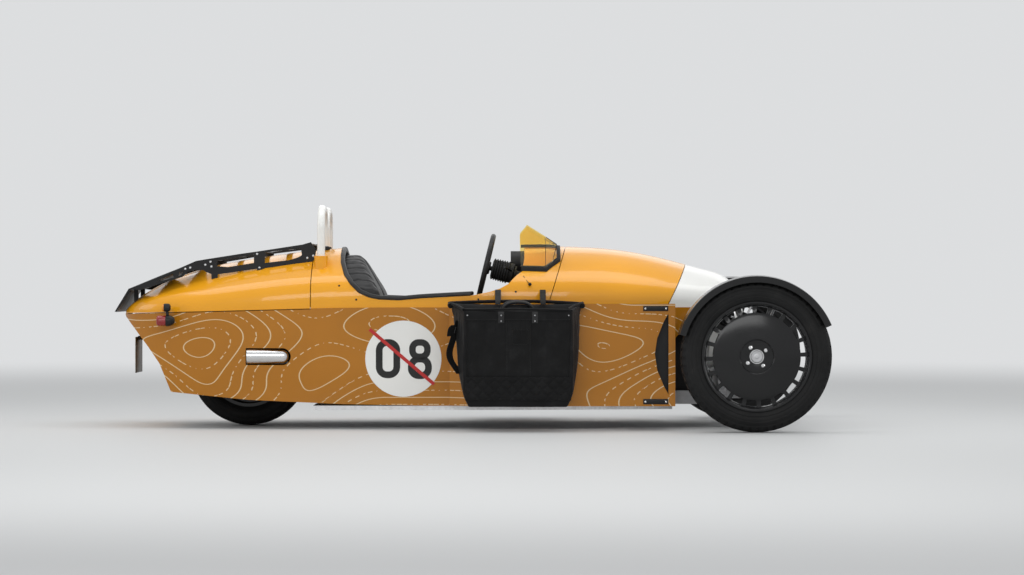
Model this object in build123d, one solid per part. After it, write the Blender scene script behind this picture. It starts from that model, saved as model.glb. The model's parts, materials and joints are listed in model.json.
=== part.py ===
"""Open two-seat three-wheeled car: two steered front wheels in the open, one driven wheel in the tail.

Millimetres. +X is forward, +Y is the car's left and +Z is up. The origin is on the ground under the
middle of the overall box. Every sub-part is written to parts/NODE.step.
"""
from build123d import *
from collections import namedtuple
from math import asin, atan2, ceil, cos, degrees, hypot, radians, sin, sqrt, tan
import os

os.makedirs("parts", exist_ok=True)

# ---------------------------------------------------------------- driving dimensions
front_axle_x = 1428
wheelbase = 2556
track = 1680
seat_gap = 0.3           # seating gap between pieces that touch
run_gap = 0.1            # radial clearance of a shaft in its bore
shut_gap = 4             # gap between body panels
panel = 12               # upper body panel thickness
flank_wall = 20          # lower body side thickness
ledge = 6                # how far the lower body stands proud of the upper
section_step = 180       # longest run between the body's lofted sections
nose_step = 45

front_tyre_radius = 372
front_tyre_width = 130
front_rim_radius = 270   # over the flange
front_rim_width = 112
rear_tyre_radius = 305
rear_tyre_width = 195
rear_rim_radius = 208
rear_rim_width = 176
slot_count = 20
wheel_bolts = 4
wheel_bolt_circle = 108
spindle_radius = 22

kingpin_y = 755
steering_arm = 128
steering_arm_z = 300
rack_radius = 10
fender_radius = 400
fender_width = 170
fender_lip = 26
fender_sheet = 3
fender_rear_angle = 16   # above the horizontal through the wheel centre
fender_front_angle = 23

floor_z = 100            # underside of the belly pan
floor_thick = 22
blade_y = 640            # outer face of the side blade
blade_rear_x = -84
blade_front_x = 1042
blade_bottom_z = 120
blade_top_z = 630
blade_sheet = 6
blade_lip = 34

lid_front_x = -784       # shut line behind the roll hoops
lid_rear_x = -1748
flank_front_x = 1040
flank_peak_x = 1180      # top of the flank's leaning front edge
bay_front_x = 1235
bonnet_rear_top_x = 504
bonnet_rear_low_x = 413
nose_top_x = 1168        # top and foot of the slanted edge of the nose cowl
nose_low_x = 1022
nose_mouth_x = 1404
shut_top_z = 921
shut_low_z = 630

hoop_x = -739
hoop_top_z = 1132
hoop_tube = 40
hoop_outer_y = 350
hoop_inner_y = 82

steering_wheel_x = 96
steering_wheel_y = -235
steering_wheel_z = 815
steering_wheel_radius = 175
steering_rim = 26
column_tilt = 13.7       # degrees below the horizontal, forwards

lamp_radius = 85
lamp_x = 1290
lamp_y = 455
lamp_z = 560

pivot_radius = 10        # kingpin pins
frame_y = 352            # outer face of the front frame's side castings
damper_low_y = 640
pulley_radius = 112
small_pulley_radius = 44
pivot_x = -620           # swing arm pivot and front pulley
pivot_z = 300
brace_x = -788
beam_rear_x = -590       # cross member behind the seats
arm_y = 165              # swing arm
arm_radius = 22

floor_rear_x = -771
boot_z = 440
tunnel_half = 60
seat_inner_y = 66
seat_outer_y = 480
cushion_front_x = 140
trim_roll = 22

hinge_x = -1758          # tail lid hinge
hinge_z = 573
hinge_half = 40

tip_rear_x = -1105
tip_front_x = -925
tip_y = 462
tip_z = 363.5
tip_radius = 37.5

pannier_outer_y = 840
lamp_stay_y = 432
rack_y = 300

front_axle_z = front_tyre_radius
rack_z = steering_arm_z - 26
rear_axle_x = front_axle_x - wheelbase
rear_axle_z = rear_tyre_radius
wheel_y = track / 2

# Upper body stations: half width and height of the belt line, crown height, upright side, shoulder radius.
Station = namedtuple("Station", "x half belt top side corner")
STATIONS = [
    Station(-1748, 190, 580, 612, 3, 12),
    Station(-1650, 292, 583, 687, 8, 60),
    Station(-1445, 392, 588, 785, 14, 100),
    Station(-1055, 472, 598, 869, 26, 140),
    Station(-700, 505, 607, 912, 40, 150),
    Station(-200, 515, 611, 918, 40, 150),
    Station(300, 494, 611, 923, 40, 150),
    Station(867, 415, 611, 892, 34, 140),
    Station(1235, 345, 611, 803, 20, 110),
]
# Closed nose sections: half width, height of the widest line, crown, chin, upright side, shoulder radius.
# The first one repeats the upper body's last arch.
NoseStation = namedtuple("NoseStation", "x half middle top chin side corner")
NOSE_STATIONS = [
    NoseStation(1235, 345, 611, 803, 296, 20, 110),
    NoseStation(1344, 306, 590, 757, 316, 14, 110),
    NoseStation(nose_mouth_x, 262, 566, 700, 356, 10, 100),
]


# ---------------------------------------------------------------- helpers
def box(x0, x1, y0, y1, z0, z1):
    """Solid between two corners."""
    size = (abs(x1 - x0), abs(y1 - y0), abs(z1 - z0))
    return Pos((x0 + x1) / 2, (y0 + y1) / 2, (z0 + z1) / 2) * Box(*size)


def rod(start, end, radius, end_radius=None):
    """Round bar from start to end, tapered when end_radius is given."""
    a, b = Vector(start), Vector(end)
    plane = Plane(origin=a, z_dir=b - a)
    if end_radius is None:
        return plane * Cylinder(radius, (b - a).length, align=(Align.CENTER, Align.CENTER, Align.MIN))
    return plane * Cone(radius, end_radius, (b - a).length, align=(Align.CENTER, Align.CENTER, Align.MIN))


def tube(start, end, radius, bore):
    """Round bar with a through bore."""
    a, b = Vector(start), Vector(end)
    along = (b - a).normalized()
    return rod(start, end, radius) - rod(a - along, b + along, bore)


def side_prism(points, y0, y1):
    """Polygon of (x, z) points carried across the car from y0 to y1."""
    face = make_face(Polyline(*[(x, y0, z) for x, z in points], close=True))
    return extrude(face, amount=abs(y1 - y0), dir=(0, 1 if y1 > y0 else -1, 0))


def bar_path(points, radius, tube_radius):
    """Round bar along a path of straight runs with equal bends."""
    path = FilletPolyline(*points, radius=radius)
    section = Plane(origin=path @ 0, z_dir=path % 0) * Circle(tube_radius)
    return sweep(section, path=path)


def mirrored(shape):
    """The shape and its reflection across the car's centre plane, as one compound."""
    return Compound([*shape.solids(), *mirror(shape, about=Plane.XZ).solids()])


def left_side(shape):
    return mirror(shape, about=Plane.XZ)


def join(*shapes):
    """Union of the shapes."""
    whole = shapes[0]
    for shape in shapes[1:]:
        whole += shape
    return whole


def save(shape, node):
    """Write one node's solids."""
    solids = shape.solids()
    export_step(solids[0] if len(solids) == 1 else Compound(solids), f"parts/{node}.step")


def spun(profile, y_centre, x, z):
    """Turn a closed (radius, y) outline about the Y axis line through (x, z)."""
    points = [(r, y + y_centre, 0) for r, y in profile]
    face = make_face(Polyline(*points, close=True))
    return Pos(x, 0, z) * revolve(face, Axis.Y, 360)


# ---------------------------------------------------------------- body forms
def arch_edges(x, y_mid, half, base, top, side, corner):
    """Three-centred arch in the plane of one station, from the left foot to the right foot."""
    rise = top - base - side
    shift = half - corner
    crown = (shift**2 + rise**2 - corner**2) / (2 * (rise - corner))
    sweep_angle = asin(shift / (crown - corner))
    foot = base + side
    join_y = shift + corner * sin(sweep_angle)
    join_z = foot + corner * cos(sweep_angle)
    half_turn = (radians(90) - sweep_angle) / 2
    mid_y = shift + corner * cos(half_turn)
    mid_z = foot + corner * sin(half_turn)

    def at(y, z):
        return (x, y_mid + y, z)

    return [
        Line(at(half, base), at(half, foot)),
        ThreePointArc(at(half, foot), at(mid_y, mid_z), at(join_y, join_z)),
        ThreePointArc(at(join_y, join_z), at(0, top), at(-join_y, join_z)),
        ThreePointArc(at(-join_y, join_z), at(-mid_y, mid_z), at(-half, foot)),
        Line(at(-half, foot), at(-half, base)),
    ]


def arch_wire(x, y_mid, half, base, top, side, corner):
    """The arch closed by a straight base."""
    edges = arch_edges(x, y_mid, half, base, top, side, corner)
    edges.append(Line((x, y_mid - half, base), (x, y_mid + half, base)))
    return Wire([e.edge() for e in edges])


def curve_at(xs, values, x):
    """Value at x on the natural cubic curve through the points."""
    last = len(xs) - 1
    gaps = [b - a for a, b in zip(xs, xs[1:])]
    slopes = [(b - a) / gap for a, b, gap in zip(values, values[1:], gaps)]
    bend, share, moment = [0.0] * (last + 1), [0.0] * (last + 1), [0.0] * (last + 1)
    for k in range(1, last):
        pivot = 2 * (gaps[k - 1] + gaps[k]) - gaps[k - 1] * share[k - 1]
        share[k] = gaps[k] / pivot
        moment[k] = (6 * (slopes[k] - slopes[k - 1]) - gaps[k - 1] * moment[k - 1]) / pivot
    for k in range(last - 1, 0, -1):
        bend[k] = moment[k] - share[k] * bend[k + 1]
    k = max(i for i in range(last) if i == 0 or xs[i] <= x)
    back, ahead, gap = x - xs[k], xs[k + 1] - x, gaps[k]
    cubic = (bend[k] * (ahead**3 / gap - gap * ahead) + bend[k + 1] * (back**3 / gap - gap * back)) / 6
    return cubic + (values[k] * ahead + values[k + 1] * back) / gap


def sections(low_x, high_x, step):
    """Stations close together along the body from low_x to high_x, on smooth curves through the named ones."""
    table = STATIONS + [Station(*n[:4], *n[5:]) for n in NOSE_STATIONS[1:]]
    if high_x <= STATIONS[-1].x:
        belts = STATIONS
    else:
        belts = [Station(*n[:4], *n[5:]) for n in NOSE_STATIONS]
    count = ceil((high_x - low_x) / step)
    made = []
    for k in range(count + 1):
        x = low_x + (high_x - low_x) * k / count
        values = [curve_at([s.x for s in table], [s[field] for s in table], x) for field in range(1, 6)]
        values[1] = curve_at([s.x for s in belts], [s.belt for s in belts], x)
        made.append(Station(x, *values))
    return made


UPPER_SECTIONS = sections(STATIONS[0].x, STATIONS[-1].x, section_step)
NOSE_SECTIONS = sections(NOSE_STATIONS[0].x, NOSE_STATIONS[-1].x, nose_step)


def upper_form(inset=0, drop=0):
    """Solid under the upper body's skin, taken in by inset and carried down by drop."""
    wires = []
    for s in UPPER_SECTIONS:
        corner = max(s.corner - inset, 4)
        wires.append(arch_wire(s.x, 0, s.half - inset, s.belt - drop, s.top - inset, s.side + drop, corner))
    return Solid.make_loft(wires)


def hull_form(inset=0, low=0, high=0):
    """Lower body block at the belt line's plan shape, with straight upright sides."""
    wires = []
    for s in UPPER_SECTIONS:
        half = s.half + ledge - inset
        corners = [(s.x, half, low), (s.x, half, s.belt + high), (s.x, -half, s.belt + high), (s.x, -half, low)]
        wires.append(Wire(Polyline(*corners, close=True).edges()))
    return Solid.make_loft(wires)


def nose_form(inset=0, reach=0):
    """Bullet-shaped nose, closed all round."""
    wires = []
    chin_xs, chins = [n.x for n in NOSE_STATIONS], [n.chin for n in NOSE_STATIONS]
    for n in NOSE_SECTIONS:
        low_top = 2 * n.belt - curve_at(chin_xs, chins, n.x) - inset
        up = arch_edges(n.x, 0, n.half - inset, n.belt, n.top - inset, n.side, n.corner - inset)
        low = arch_edges(n.x, 0, n.half - inset, n.belt, low_top, n.side, n.corner - inset)
        flip = Plane(origin=(0, 0, n.belt), z_dir=(0, 0, 1))
        low = [e.edge().mirror(flip) for e in low]
        wires.append(Wire([e.edge() for e in up] + low))
    return Solid.make_loft(wires)


def upper_clear(gap, drop=0):
    """Upper body grown by gap, for cutting pieces that sit on it."""
    return upper_form(-gap, drop)


UPPER = upper_form()
UPPER_INNER = upper_form(panel, 40)
HULL = hull_form()
# Room inside the panels and side walls, from below the floor to under the deck.
CABIN = upper_form(flank_wall - ledge + seat_gap, 489)


# ---------------------------------------------------------------- upper body
def shut_x(top_x, low_x, z):
    """X of a leaning shut line at height z."""
    return low_x + (top_x - low_x) * (z - shut_low_z) / (shut_top_z - shut_low_z)


def slanted_cut(top_x, low_x, shift, ahead):
    """Large prism ahead of, or behind, a leaning shut line moved forward by shift."""
    z_low, z_high = 300, 1300
    far = 4000 if ahead else -4000
    x_low, x_high = shut_x(top_x, low_x, z_low) + shift, shut_x(top_x, low_x, z_high) + shift
    return side_prism([(x_low, z_low), (x_high, z_high), (far, z_high), (far, z_low)], -800, 800)


OPENING_REAR = [(-649, 920), (-641, 840), (-618, 774), (-583, 724), (-541, 683), (-489, 660), (-438, 650)]
OPENING_SILL = [(-337, 646), (-229, 656), (25, 670)]
OPENING_FRONT = [(118, 690), (169, 706), (209, 728), (234, 754), (254, 774), (280, 792), (292, 860)]


def opening_face(lift=0):
    """Side view of the cockpit opening, or of the part of it more than lift inside its edge."""
    points = OPENING_REAR + OPENING_SILL + OPENING_FRONT
    face = make_face(Polyline(*[(x, -800, z) for x, z in points + [(292, 1300), (-649, 1300)]], close=True))
    if lift:
        face = offset(face, amount=-lift).face()
    return face


def cockpit_opening(lift=0):
    return extrude(opening_face(lift), amount=1600, dir=(0, 1, 0))


def cockpit_surround():
    """Rear deck round the hoops, low sides and scuttle, in one panel round the cockpit."""
    shell = UPPER - UPPER_INNER
    shell -= box(-4000, lid_front_x + shut_gap / 2, -800, 800, 0, 1400)
    shell -= slanted_cut(bonnet_rear_top_x, bonnet_rear_low_x, -shut_gap / 2, True)
    shell -= cockpit_opening()
    boss_low, boss_high = 800, 871
    for side in (-1, 1):
        shell += rod((hoop_x, side * hoop_outer_y, boss_low), (hoop_x, side * hoop_outer_y, boss_high),
                     hoop_tube / 2 + 15)
        for y in (hoop_outer_y, hoop_inner_y):
            shell -= rod((hoop_x, side * y, 500), (hoop_x, side * y, 1000), hoop_tube / 2 + seat_gap)
    return shell


def cockpit_trim():
    """Padded roll along the sides of the opening and the rear deck's edge."""
    band = cockpit_opening(seat_gap) - cockpit_opening(trim_roll)
    ring = upper_form(-7) - upper_form(panel + 8, 40)
    ring &= box(-700, 25, -600, 600, 600, 1000)
    return ring & band


def tail_lid():
    """Boat-tailed rear deck with its hinge strap at the rear edge."""
    shell = UPPER - UPPER_INNER
    shell += UPPER & box(lid_rear_x, lid_rear_x + panel, -400, 400, 400, 800)
    shell &= box(-4000, lid_front_x - shut_gap / 2, -800, 800, 0, 1400)
    strap = box(hinge_x, lid_rear_x + 6, -hinge_half + 1, hinge_half - 1, hinge_z, hinge_z + 26)
    barrel = tube((hinge_x, -hinge_half + 1, hinge_z), (hinge_x, hinge_half - 1, hinge_z), 8, 4 + run_gap)
    return shell + (strap - rod((hinge_x, -99, hinge_z), (hinge_x, 99, hinge_z), 6)) + barrel


def bonnet():
    shell = UPPER - UPPER_INNER
    shell &= slanted_cut(bonnet_rear_top_x, bonnet_rear_low_x, shut_gap / 2, True)
    return shell & slanted_cut(nose_top_x, nose_low_x, -shut_gap / 2, False)


def nose_cowl():
    """White front of the bonnet with a bullet nose and an open mouth."""
    top = (UPPER - UPPER_INNER) & slanted_cut(nose_top_x, nose_low_x, shut_gap / 2, True)
    return top + (nose_form() - nose_form(panel))


def nose_grille():
    """Slatted plate in the nose mouth."""
    x = nose_mouth_x - 40
    inner = nose_form(panel + seat_gap)
    ring = inner & box(x, x + 8, -400, 400, 200, 900)
    slats = box(x - 1, x + 9, -400, 400, 200, 900)
    for z in range(370, 710, 34):
        slats -= box(x - 2, x + 10, -400, 400, z, z + 7)
    middle = nose_form(panel + 14) & slats
    return ring - (middle - box(x - 2, x + 10, -4, 4, 200, 900))


# ---------------------------------------------------------------- lower body
# Lower outline of the flanks from the side, and the tail's overhanging rear edge.
STERN_EDGE = [(-1497, 183), (-1558, 326), (-1620, 412), (-1690, 498), (lid_rear_x, 566)]
KEEL_EDGE = [(flank_front_x, 118), (-200, 118), (-620, 126), (-1100, 146)]


def flanks():
    """Both lower side walls, with a hole for each tailpipe."""
    wall = HULL - hull_form(flank_wall, -50, 50)
    front = [(flank_peak_x, 700), (flank_peak_x, 585), (flank_front_x + 12, 452)]
    outline = [*front, *KEEL_EDGE, *STERN_EDGE, (lid_rear_x, 700)]
    wall &= side_prism(outline, -800, 800)
    wall -= upper_clear(20, seat_gap)
    wall -= upper_clear(20, shut_gap) & box(-4000, lid_front_x, -900, 900, 0, 1400)
    for side in (-1, 1):
        wall -= exhaust_recess(side)
    return wall


def exhaust_recess(side):
    """Bullet-shaped hole in one flank."""
    low, high = tip_z - tip_radius - 5, tip_z + tip_radius + 5
    mouth = side_prism([(tip_rear_x - 6, low), (tip_rear_x - 6, high), (tip_front_x, high), (tip_front_x, low)],
                       side * 380, side * 600)
    return mouth + rod((tip_front_x, side * 380, tip_z), (tip_front_x, side * 600, tip_z), tip_radius + 5)


def tail_panel():
    """Overhanging stern between the flanks, with the fixed hinge barrels and pin."""
    inner = [(x + panel * 1.1, z + 5) for x, z in STERN_EDGE]
    inner[-1] = (lid_rear_x + panel * 1.4, 566)
    sheet = side_prism(STERN_EDGE + inner[::-1], -800, 800)
    sheet &= hull_form(flank_wall + seat_gap)
    pin = rod((hinge_x, -hinge_half - 26, hinge_z), (hinge_x, hinge_half + 26, hinge_z), 4)
    ear = tube((hinge_x, hinge_half, hinge_z), (hinge_x, hinge_half + 26, hinge_z), 8, 3)
    ear += box(hinge_x - 4, lid_rear_x + 14, hinge_half, hinge_half + 26, hinge_z - 16, hinge_z - 5)
    return join(sheet, ear, left_side(ear), pin)


def floor_pan():
    """Belly pan that the flanks stand on."""
    return hull_form(10) & box(floor_rear_x, flank_front_x, -800, 800, floor_z - 4, 118 - seat_gap)


def back_line(z):
    """X of the seat backs' rear face at height z."""
    return -650 + 220 * (872 - z) / 754


def bulkhead():
    """Sloping panel behind the seats, the seat box in front of it and the beam under the hoops."""
    low = 118 + seat_gap
    back = side_prism([(back_line(low), low), (back_line(888), 888), (back_line(888) - 12, 888),
                       (back_line(low) - 12, low)], -800, 800)
    shelf = side_prism([(back_line(230) - 6, 230), (cushion_front_x, 230), (cushion_front_x, low),
                        (cushion_front_x - 10, low), (cushion_front_x - 10, 220), (back_line(220) - 6, 220)],
                       -800, 800)
    shelf -= box(-700, 400, -tunnel_half - seat_gap, tunnel_half + seat_gap, 0, 400)
    beam = box(hoop_x - 24, hoop_x + 24, -800, 800, 560, 600)
    beam += box(hoop_x + 20, back_line(580) - 2, -30, 30, 560, 600)
    return (back + shelf + beam) & CABIN


def boot_tub():
    """Boot floor with a hump over the rear wheel."""
    hump, wall = rear_tyre_radius + 40, 6
    y = rear_tyre_width / 2 + 26
    plate = box(-1608, hoop_x - 30, -800, 800, boot_z, boot_z + wall) & CABIN
    cover = rod((rear_axle_x, -y, rear_axle_z), (rear_axle_x, y, rear_axle_z), hump + wall)
    cover &= box(-4000, 0, -800, 800, boot_z, 2000)
    void = rod((rear_axle_x, wall - y, rear_axle_z), (rear_axle_x, y - wall, rear_axle_z), hump)
    return plate + cover - void


def sideblade(side):
    """Flat outer panel with turned-in lips, a rear return to the flank and a front slot."""
    y = blade_y
    outer = [(blade_rear_x, 528), (30, y), (blade_front_x, y)]
    inner = [(blade_front_x, y - blade_sheet), (33, y - blade_sheet), (blade_rear_x, 521.5)]
    plan = [(x, side * v, blade_bottom_z) for x, v in outer + inner]
    wall = extrude(make_face(Polyline(*plan, close=True)), amount=blade_top_z - blade_bottom_z, dir=(0, 0, 1))
    lip = box(40, blade_front_x, side * (y - blade_lip), side * y, blade_top_z - blade_sheet, blade_top_z)
    wall += lip + Pos(0, 0, blade_sheet + blade_bottom_z - blade_top_z) * lip
    slot = side_prism([(1008, 178), (1008, 583), (984, 540), (952, 460), (940, 380), (952, 300), (984, 222)],
                      side * (y - 20), side * (y + 20))
    wall -= slot
    for x, z in BLADE_BOLTS:
        wall -= rod((x, side * (y - 60), z), (x, side * (y + 60), z), 6 + seat_gap)
    return wall


BLADE_BOLTS = [(905, 606), (983, 606), (905, 143), (983, 143)]
BLADE_PLATES = [(882, 1006, 594, 619), (882, 1006, 131, 156)]


def blade_brackets():
    """Outer clamp plates of the blades, their bolts and the stays back to the hull."""
    solid = None
    for x0, x1, z0, z1 in BLADE_PLATES:
        plate = box(x0, x1, -blade_y - 5, -blade_y - seat_gap, z0, z1)
        solid = plate if solid is None else solid + plate
        z = (z0 + z1) / 2
        stay = box(x0, x1, -blade_y + blade_sheet + seat_gap + 28, -330, z - 12, z + 1)
        solid += stay - hull_form(-seat_gap)
    for x, z in BLADE_BOLTS:
        solid += rod((x, -blade_y - 3, z), (x, -blade_y + 60, z), 6)
    rear = box(140, 200, -blade_y + blade_sheet + seat_gap, -480, 300, 340)
    solid += rear - hull_form(-seat_gap)
    return mirrored(solid)


def side_radiators():
    """Radiator boxes between the blades and the hull."""
    core = box(780, blade_front_x - 10, -blade_y + blade_lip + 10, -330, 176, 574)
    return mirrored(core - hull_form(-seat_gap))


# ---------------------------------------------------------------- wheels
def front_tyre(side):
    """Tall narrow tyre with rounded shoulders."""
    w, r, rim, half = front_tyre_width / 2, front_tyre_radius, front_rim_radius, front_rim_width / 2
    flank_side = [(rim - 14, half - 7.5), (rim + 1, half - 5.8), (rim + 8, half), (rim + 24, w - 2),
                  (rim + 50, w), (r - 26, w - 5), (r - 10, w - 17), (r - 2, w - 32)]
    profile = [(a, -b) for a, b in flank_side] + [(r, 0)] + flank_side[::-1]
    return spun(profile, side * wheel_y, front_axle_x, front_axle_z)


def front_wheel(side):
    """Closed disc wheel with a ring of slots at its edge, and its brake disc behind."""
    rim, half = front_rim_radius, front_rim_width / 2
    bore = spindle_radius + run_gap
    profile = [
        (bore, -46), (62, -46), (62, -42), (128, -42), (128, -32), (62, -32), (62, 18), (198, 18),
        (214, 10), (236, -12), (246, -34), (256, -half),
        (rim, -half), (rim, -half + 5), (rim - 14.5, -half + 7), (rim - 14.5, half - 7), (rim, half - 5),
        (rim, half), (rim - 8, half - 1), (252, half - 10), (246, half - 20), (212, half - 18),
        (170, half - 8), (120, half - 2), (84, half), (80, half - 14), (31, half - 14), (28, half - 3),
        (0, half - 3), (0, half - 22), (bore, half - 22),
    ]
    wheel = spun([(r, side * y) for r, y in profile], side * wheel_y, front_axle_x, front_axle_z)
    slot = box(218, 243, side * (half - 60), side * (half + 10), -27, 27)
    cutters = [Pos(front_axle_x, side * wheel_y, front_axle_z) * Rot(0, k * 360 / slot_count, 0) * slot
               for k in range(slot_count)]
    wheel -= Compound(cutters).solids()
    holes = []
    for k in range(wheel_bolts):
        a = radians(35 + k * 360 / wheel_bolts)
        x = front_axle_x + wheel_bolt_circle / 2 * cos(a)
        z = front_axle_z + wheel_bolt_circle / 2 * sin(a)
        holes.append(rod((x, side * (wheel_y + half - 30), z), (x, side * (wheel_y + half), z), 6.5))
    return wheel - holes


def rear_tyre():
    w, r, rim, half = rear_tyre_width / 2, rear_tyre_radius, rear_rim_radius, rear_rim_width / 2
    flank_side = [(rim - 14, half - 7.5), (rim + 1, half - 5.8), (rim + 8, half), (rim + 22, w - 2),
                  (rim + 44, w), (r - 24, w - 5), (r - 8, w - 20), (r, w - 42)]
    profile = [(a, -b) for a, b in flank_side] + flank_side[::-1]
    return spun(profile, 0, rear_axle_x, rear_axle_z)


def rear_wheel():
    """Disc wheel with the driven belt pulley on its left side."""
    rim, half = rear_rim_radius, rear_rim_width / 2
    bore = spindle_radius + run_gap
    y0 = half + 14
    profile = [
        (bore, -half + 10), (60, -half + 10), (60, -8), (186, -8), (192, -half),
        (rim, -half), (rim, -half + 5), (rim - 14.5, -half + 7), (rim - 14.5, half - 7), (rim, half - 5),
        (rim, half), (192, half), (186, 16), (60, 16), (60, y0), (pulley_radius + 8, y0), (pulley_radius + 8, y0 + 4), (pulley_radius, y0 + 4),
        (pulley_radius, y0 + 30), (pulley_radius + 8, y0 + 30), (pulley_radius + 8, y0 + 34), (bore, y0 + 34),
    ]
    return spun(profile, 0, rear_axle_x, rear_axle_z)


# ---------------------------------------------------------------- front axle
def upright(side):
    """Knuckle with its stub axle, steering arm, brake caliper and the two stays of the wing."""
    y, x, z = side * kingpin_y, front_axle_x, front_axle_z
    bottom, top = LOWER_ARMS.z_out + 12 + seat_gap, UPPER_ARMS.z_out - 12 - seat_gap
    post = box(x - 24, x + 24, y - 16, y + 16, bottom, top)
    for z0, z1 in ((bottom - 1, bottom + 34), (top - 34, top + 1)):
        post -= rod((x, y, z0), (x, y, z1), pivot_radius + run_gap)
    hub = rod((x, y, z), (x, side * (wheel_y - 50), z), 40)
    stub = rod((x, y, z), (x, side * (wheel_y + 33), z), spindle_radius)
    arm = side_prism([(x, steering_arm_z - 8), (x - steering_arm - 16, steering_arm_z - 8),
                      (x - steering_arm - 16, steering_arm_z + 6), (x, steering_arm_z + 6)], y - 15, y + 15)
    caliper = side_prism([(x + 70, z - 60), (x + 142, z - 40), (x + 142, z + 50), (x + 70, z + 60)],
                         y - side * 12, side * (wheel_y - 47))
    web = box(x, x + 90, y - 12, y + 12, z - 30, z + 30)
    whole = join(post, hub, stub, arm, web, caliper)
    stay_y = wheel_y - fender_width / 2 - 6 - seat_gap
    for reach in (-150, 150):
        lip_z = z + sqrt((fender_radius - fender_lip) ** 2 - reach**2)
        whole += rod((x + reach / 8, y, z + 70), (x + reach, side * stay_y, lip_z), 6)
    return whole


def fender(side):
    """Cycle wing: a crowned strip with turned-down lips, round the top of the wheel."""
    r, w, t = fender_radius, fender_width / 2, fender_sheet
    crown = [(r - 8, -w), (r - 3, -w * 0.75), (r, -w * 0.35), (r, w * 0.35), (r - 3, w * 0.75), (r - 8, w)]
    low = r - fender_lip - 8
    inside = [(a - t, b * (w - t) / w) for a, b in reversed(crown)]
    profile = [(low, -w), *crown, (low, w), (low, w - t), *inside, (low, t - w)]
    face = make_face(Polyline(*[(a, b, 0) for a, b in profile], close=True))
    span = 180 - fender_front_angle - fender_rear_angle
    strip = Rot(0, -fender_front_angle, 0) * revolve(face, Axis.Y, -span)
    return Pos(front_axle_x, side * wheel_y, front_axle_z) * strip


Arms = namedtuple("Arms", "z_in z_out rear_x front_x")
LOWER_ARMS = Arms(215, 222, 1345, 1505)
UPPER_ARMS = Arms(500, 522, 1362, 1492)


def arm_pair(arms, toward):
    """One A-arm: two bars from the frame to the ball joint, with the pivot pin into the knuckle."""
    y_in = frame_y + seat_gap
    ball = (front_axle_x, -kingpin_y, arms.z_out)
    solid = rod((front_axle_x, -kingpin_y, arms.z_out - 12), (front_axle_x, -kingpin_y, arms.z_out + 12), 20)
    solid += rod(ball, (front_axle_x, -kingpin_y, arms.z_out + toward * 40), pivot_radius)
    for x in (arms.rear_x, arms.front_x):
        solid += rod((x, -y_in + 14, arms.z_in), ball, 14, 10)
    return solid - box(1200, 1700, -y_in, -y_in + 60, 0, 900)


def wishbones():
    """Upper and lower A-arms of both sides; the lower ones carry the damper pads."""
    lower = arm_pair(LOWER_ARMS, 1)
    lower += box(1398, 1458, -damper_low_y - 22, -damper_low_y + 22, 208, 232)
    return mirrored(Compound([*lower.solids(), *arm_pair(UPPER_ARMS, -1).solids()]))


def dampers():
    """Coil-over unit on each side, between the lower arm and the frame tower."""
    low, high = Vector(front_axle_x, -damper_low_y, 236), Vector(front_axle_x, -frame_y - 24, 512)
    along = high - low
    unit = rod(low, high, 9)
    unit += rod(low + along * 0.16, low + along * 0.78, 27)
    unit += box(front_axle_x - 10, front_axle_x + 10, -damper_low_y - 14, -damper_low_y + 14, 232 + seat_gap, 250)
    unit += box(front_axle_x - 12, front_axle_x + 12, -frame_y - 40, -frame_y - seat_gap, 496, 526)
    return mirrored(unit - box(front_axle_x - 60, front_axle_x + 60, -800, -500, 100, 232 + seat_gap))


def front_frame():
    """Cast cross beam, side towers for the suspension, rails to the hull and the rack's housing."""
    beam = box(1250, 1520, -300, 300, 150, 188)
    tower = side_prism([(1310, 150), (1530, 150), (1530, 250), (1505, 534), (1350, 534), (1322, 250)],
                       frame_y - 16, frame_y)
    tower -= side_prism([(1352, 262), (1498, 262), (1482, 466), (1372, 466)], frame_y - 30, frame_y + 30)
    foot = box(1310, 1520, 290, frame_y, 150, 172)
    rail = box(905, 1262, 246, 292, 118 + seat_gap, 186)
    lamp_arm = rod((1358, frame_y - 8, 460), (lamp_x - 20, lamp_y, lamp_z - lamp_radius + 6), 11)
    half = join(tower, foot, rail, lamp_arm - rod((lamp_x - 70, lamp_y, lamp_z), (lamp_x + 60, lamp_y, lamp_z),
                                                 lamp_radius + seat_gap))
    post = box(1290, 1330, -26, 26, 180, 360) - nose_form(-seat_gap)
    x, z = front_axle_x - steering_arm, rack_z
    housing = rod((x, -240, z), (x, 240, z), 26) + box(x - 18, x + 18, -210, 210, 180, z)
    whole = join(beam, half, left_side(half), post, housing)
    return whole - rod((x, -260, z), (x, 260, z), rack_radius + run_gap)


def steering_rack():
    """Rack bar with its tie rods and rod ends, one straight bar across the car."""
    x, z, y = front_axle_x - steering_arm, rack_z, kingpin_y - 4
    bar = rod((x, -y, z), (x, y, z), rack_radius)
    for side in (-1, 1):
        bar += rod((x, side * y, z - 12), (x, side * y, z + 12), 15)
    return bar


def headlamps():
    """Round bowls with an open front."""
    x, y, z, r = lamp_x, -lamp_y, lamp_z, lamp_radius
    bowl = rod((x - 18, y, z), (x + 22, y, z), r) + rod((x - 74, y, z), (x - 18, y, z), r * 0.5, r)
    bowl += rod((x - 86, y, z), (x - 74, y, z), r * 0.3, r * 0.5)
    bowl -= rod((x - 10, y, z), (x + 40, y, z), r - 8)
    return mirrored(bowl)


def headlamp_lenses():
    x, y, z, r = lamp_x, -lamp_y, lamp_z, lamp_radius
    lens = rod((x + 8, y, z), (x + 16, y, z), r - 8 - seat_gap)
    lens += rod((x + 16, y, z), (x + 24, y, z), r - 8 - seat_gap, r - 34)
    return mirrored(lens)


def engine():
    """Engine and gearbox as one plain block."""
    return box(760, 1200, -218, 218, 118 + seat_gap, 700)


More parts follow.
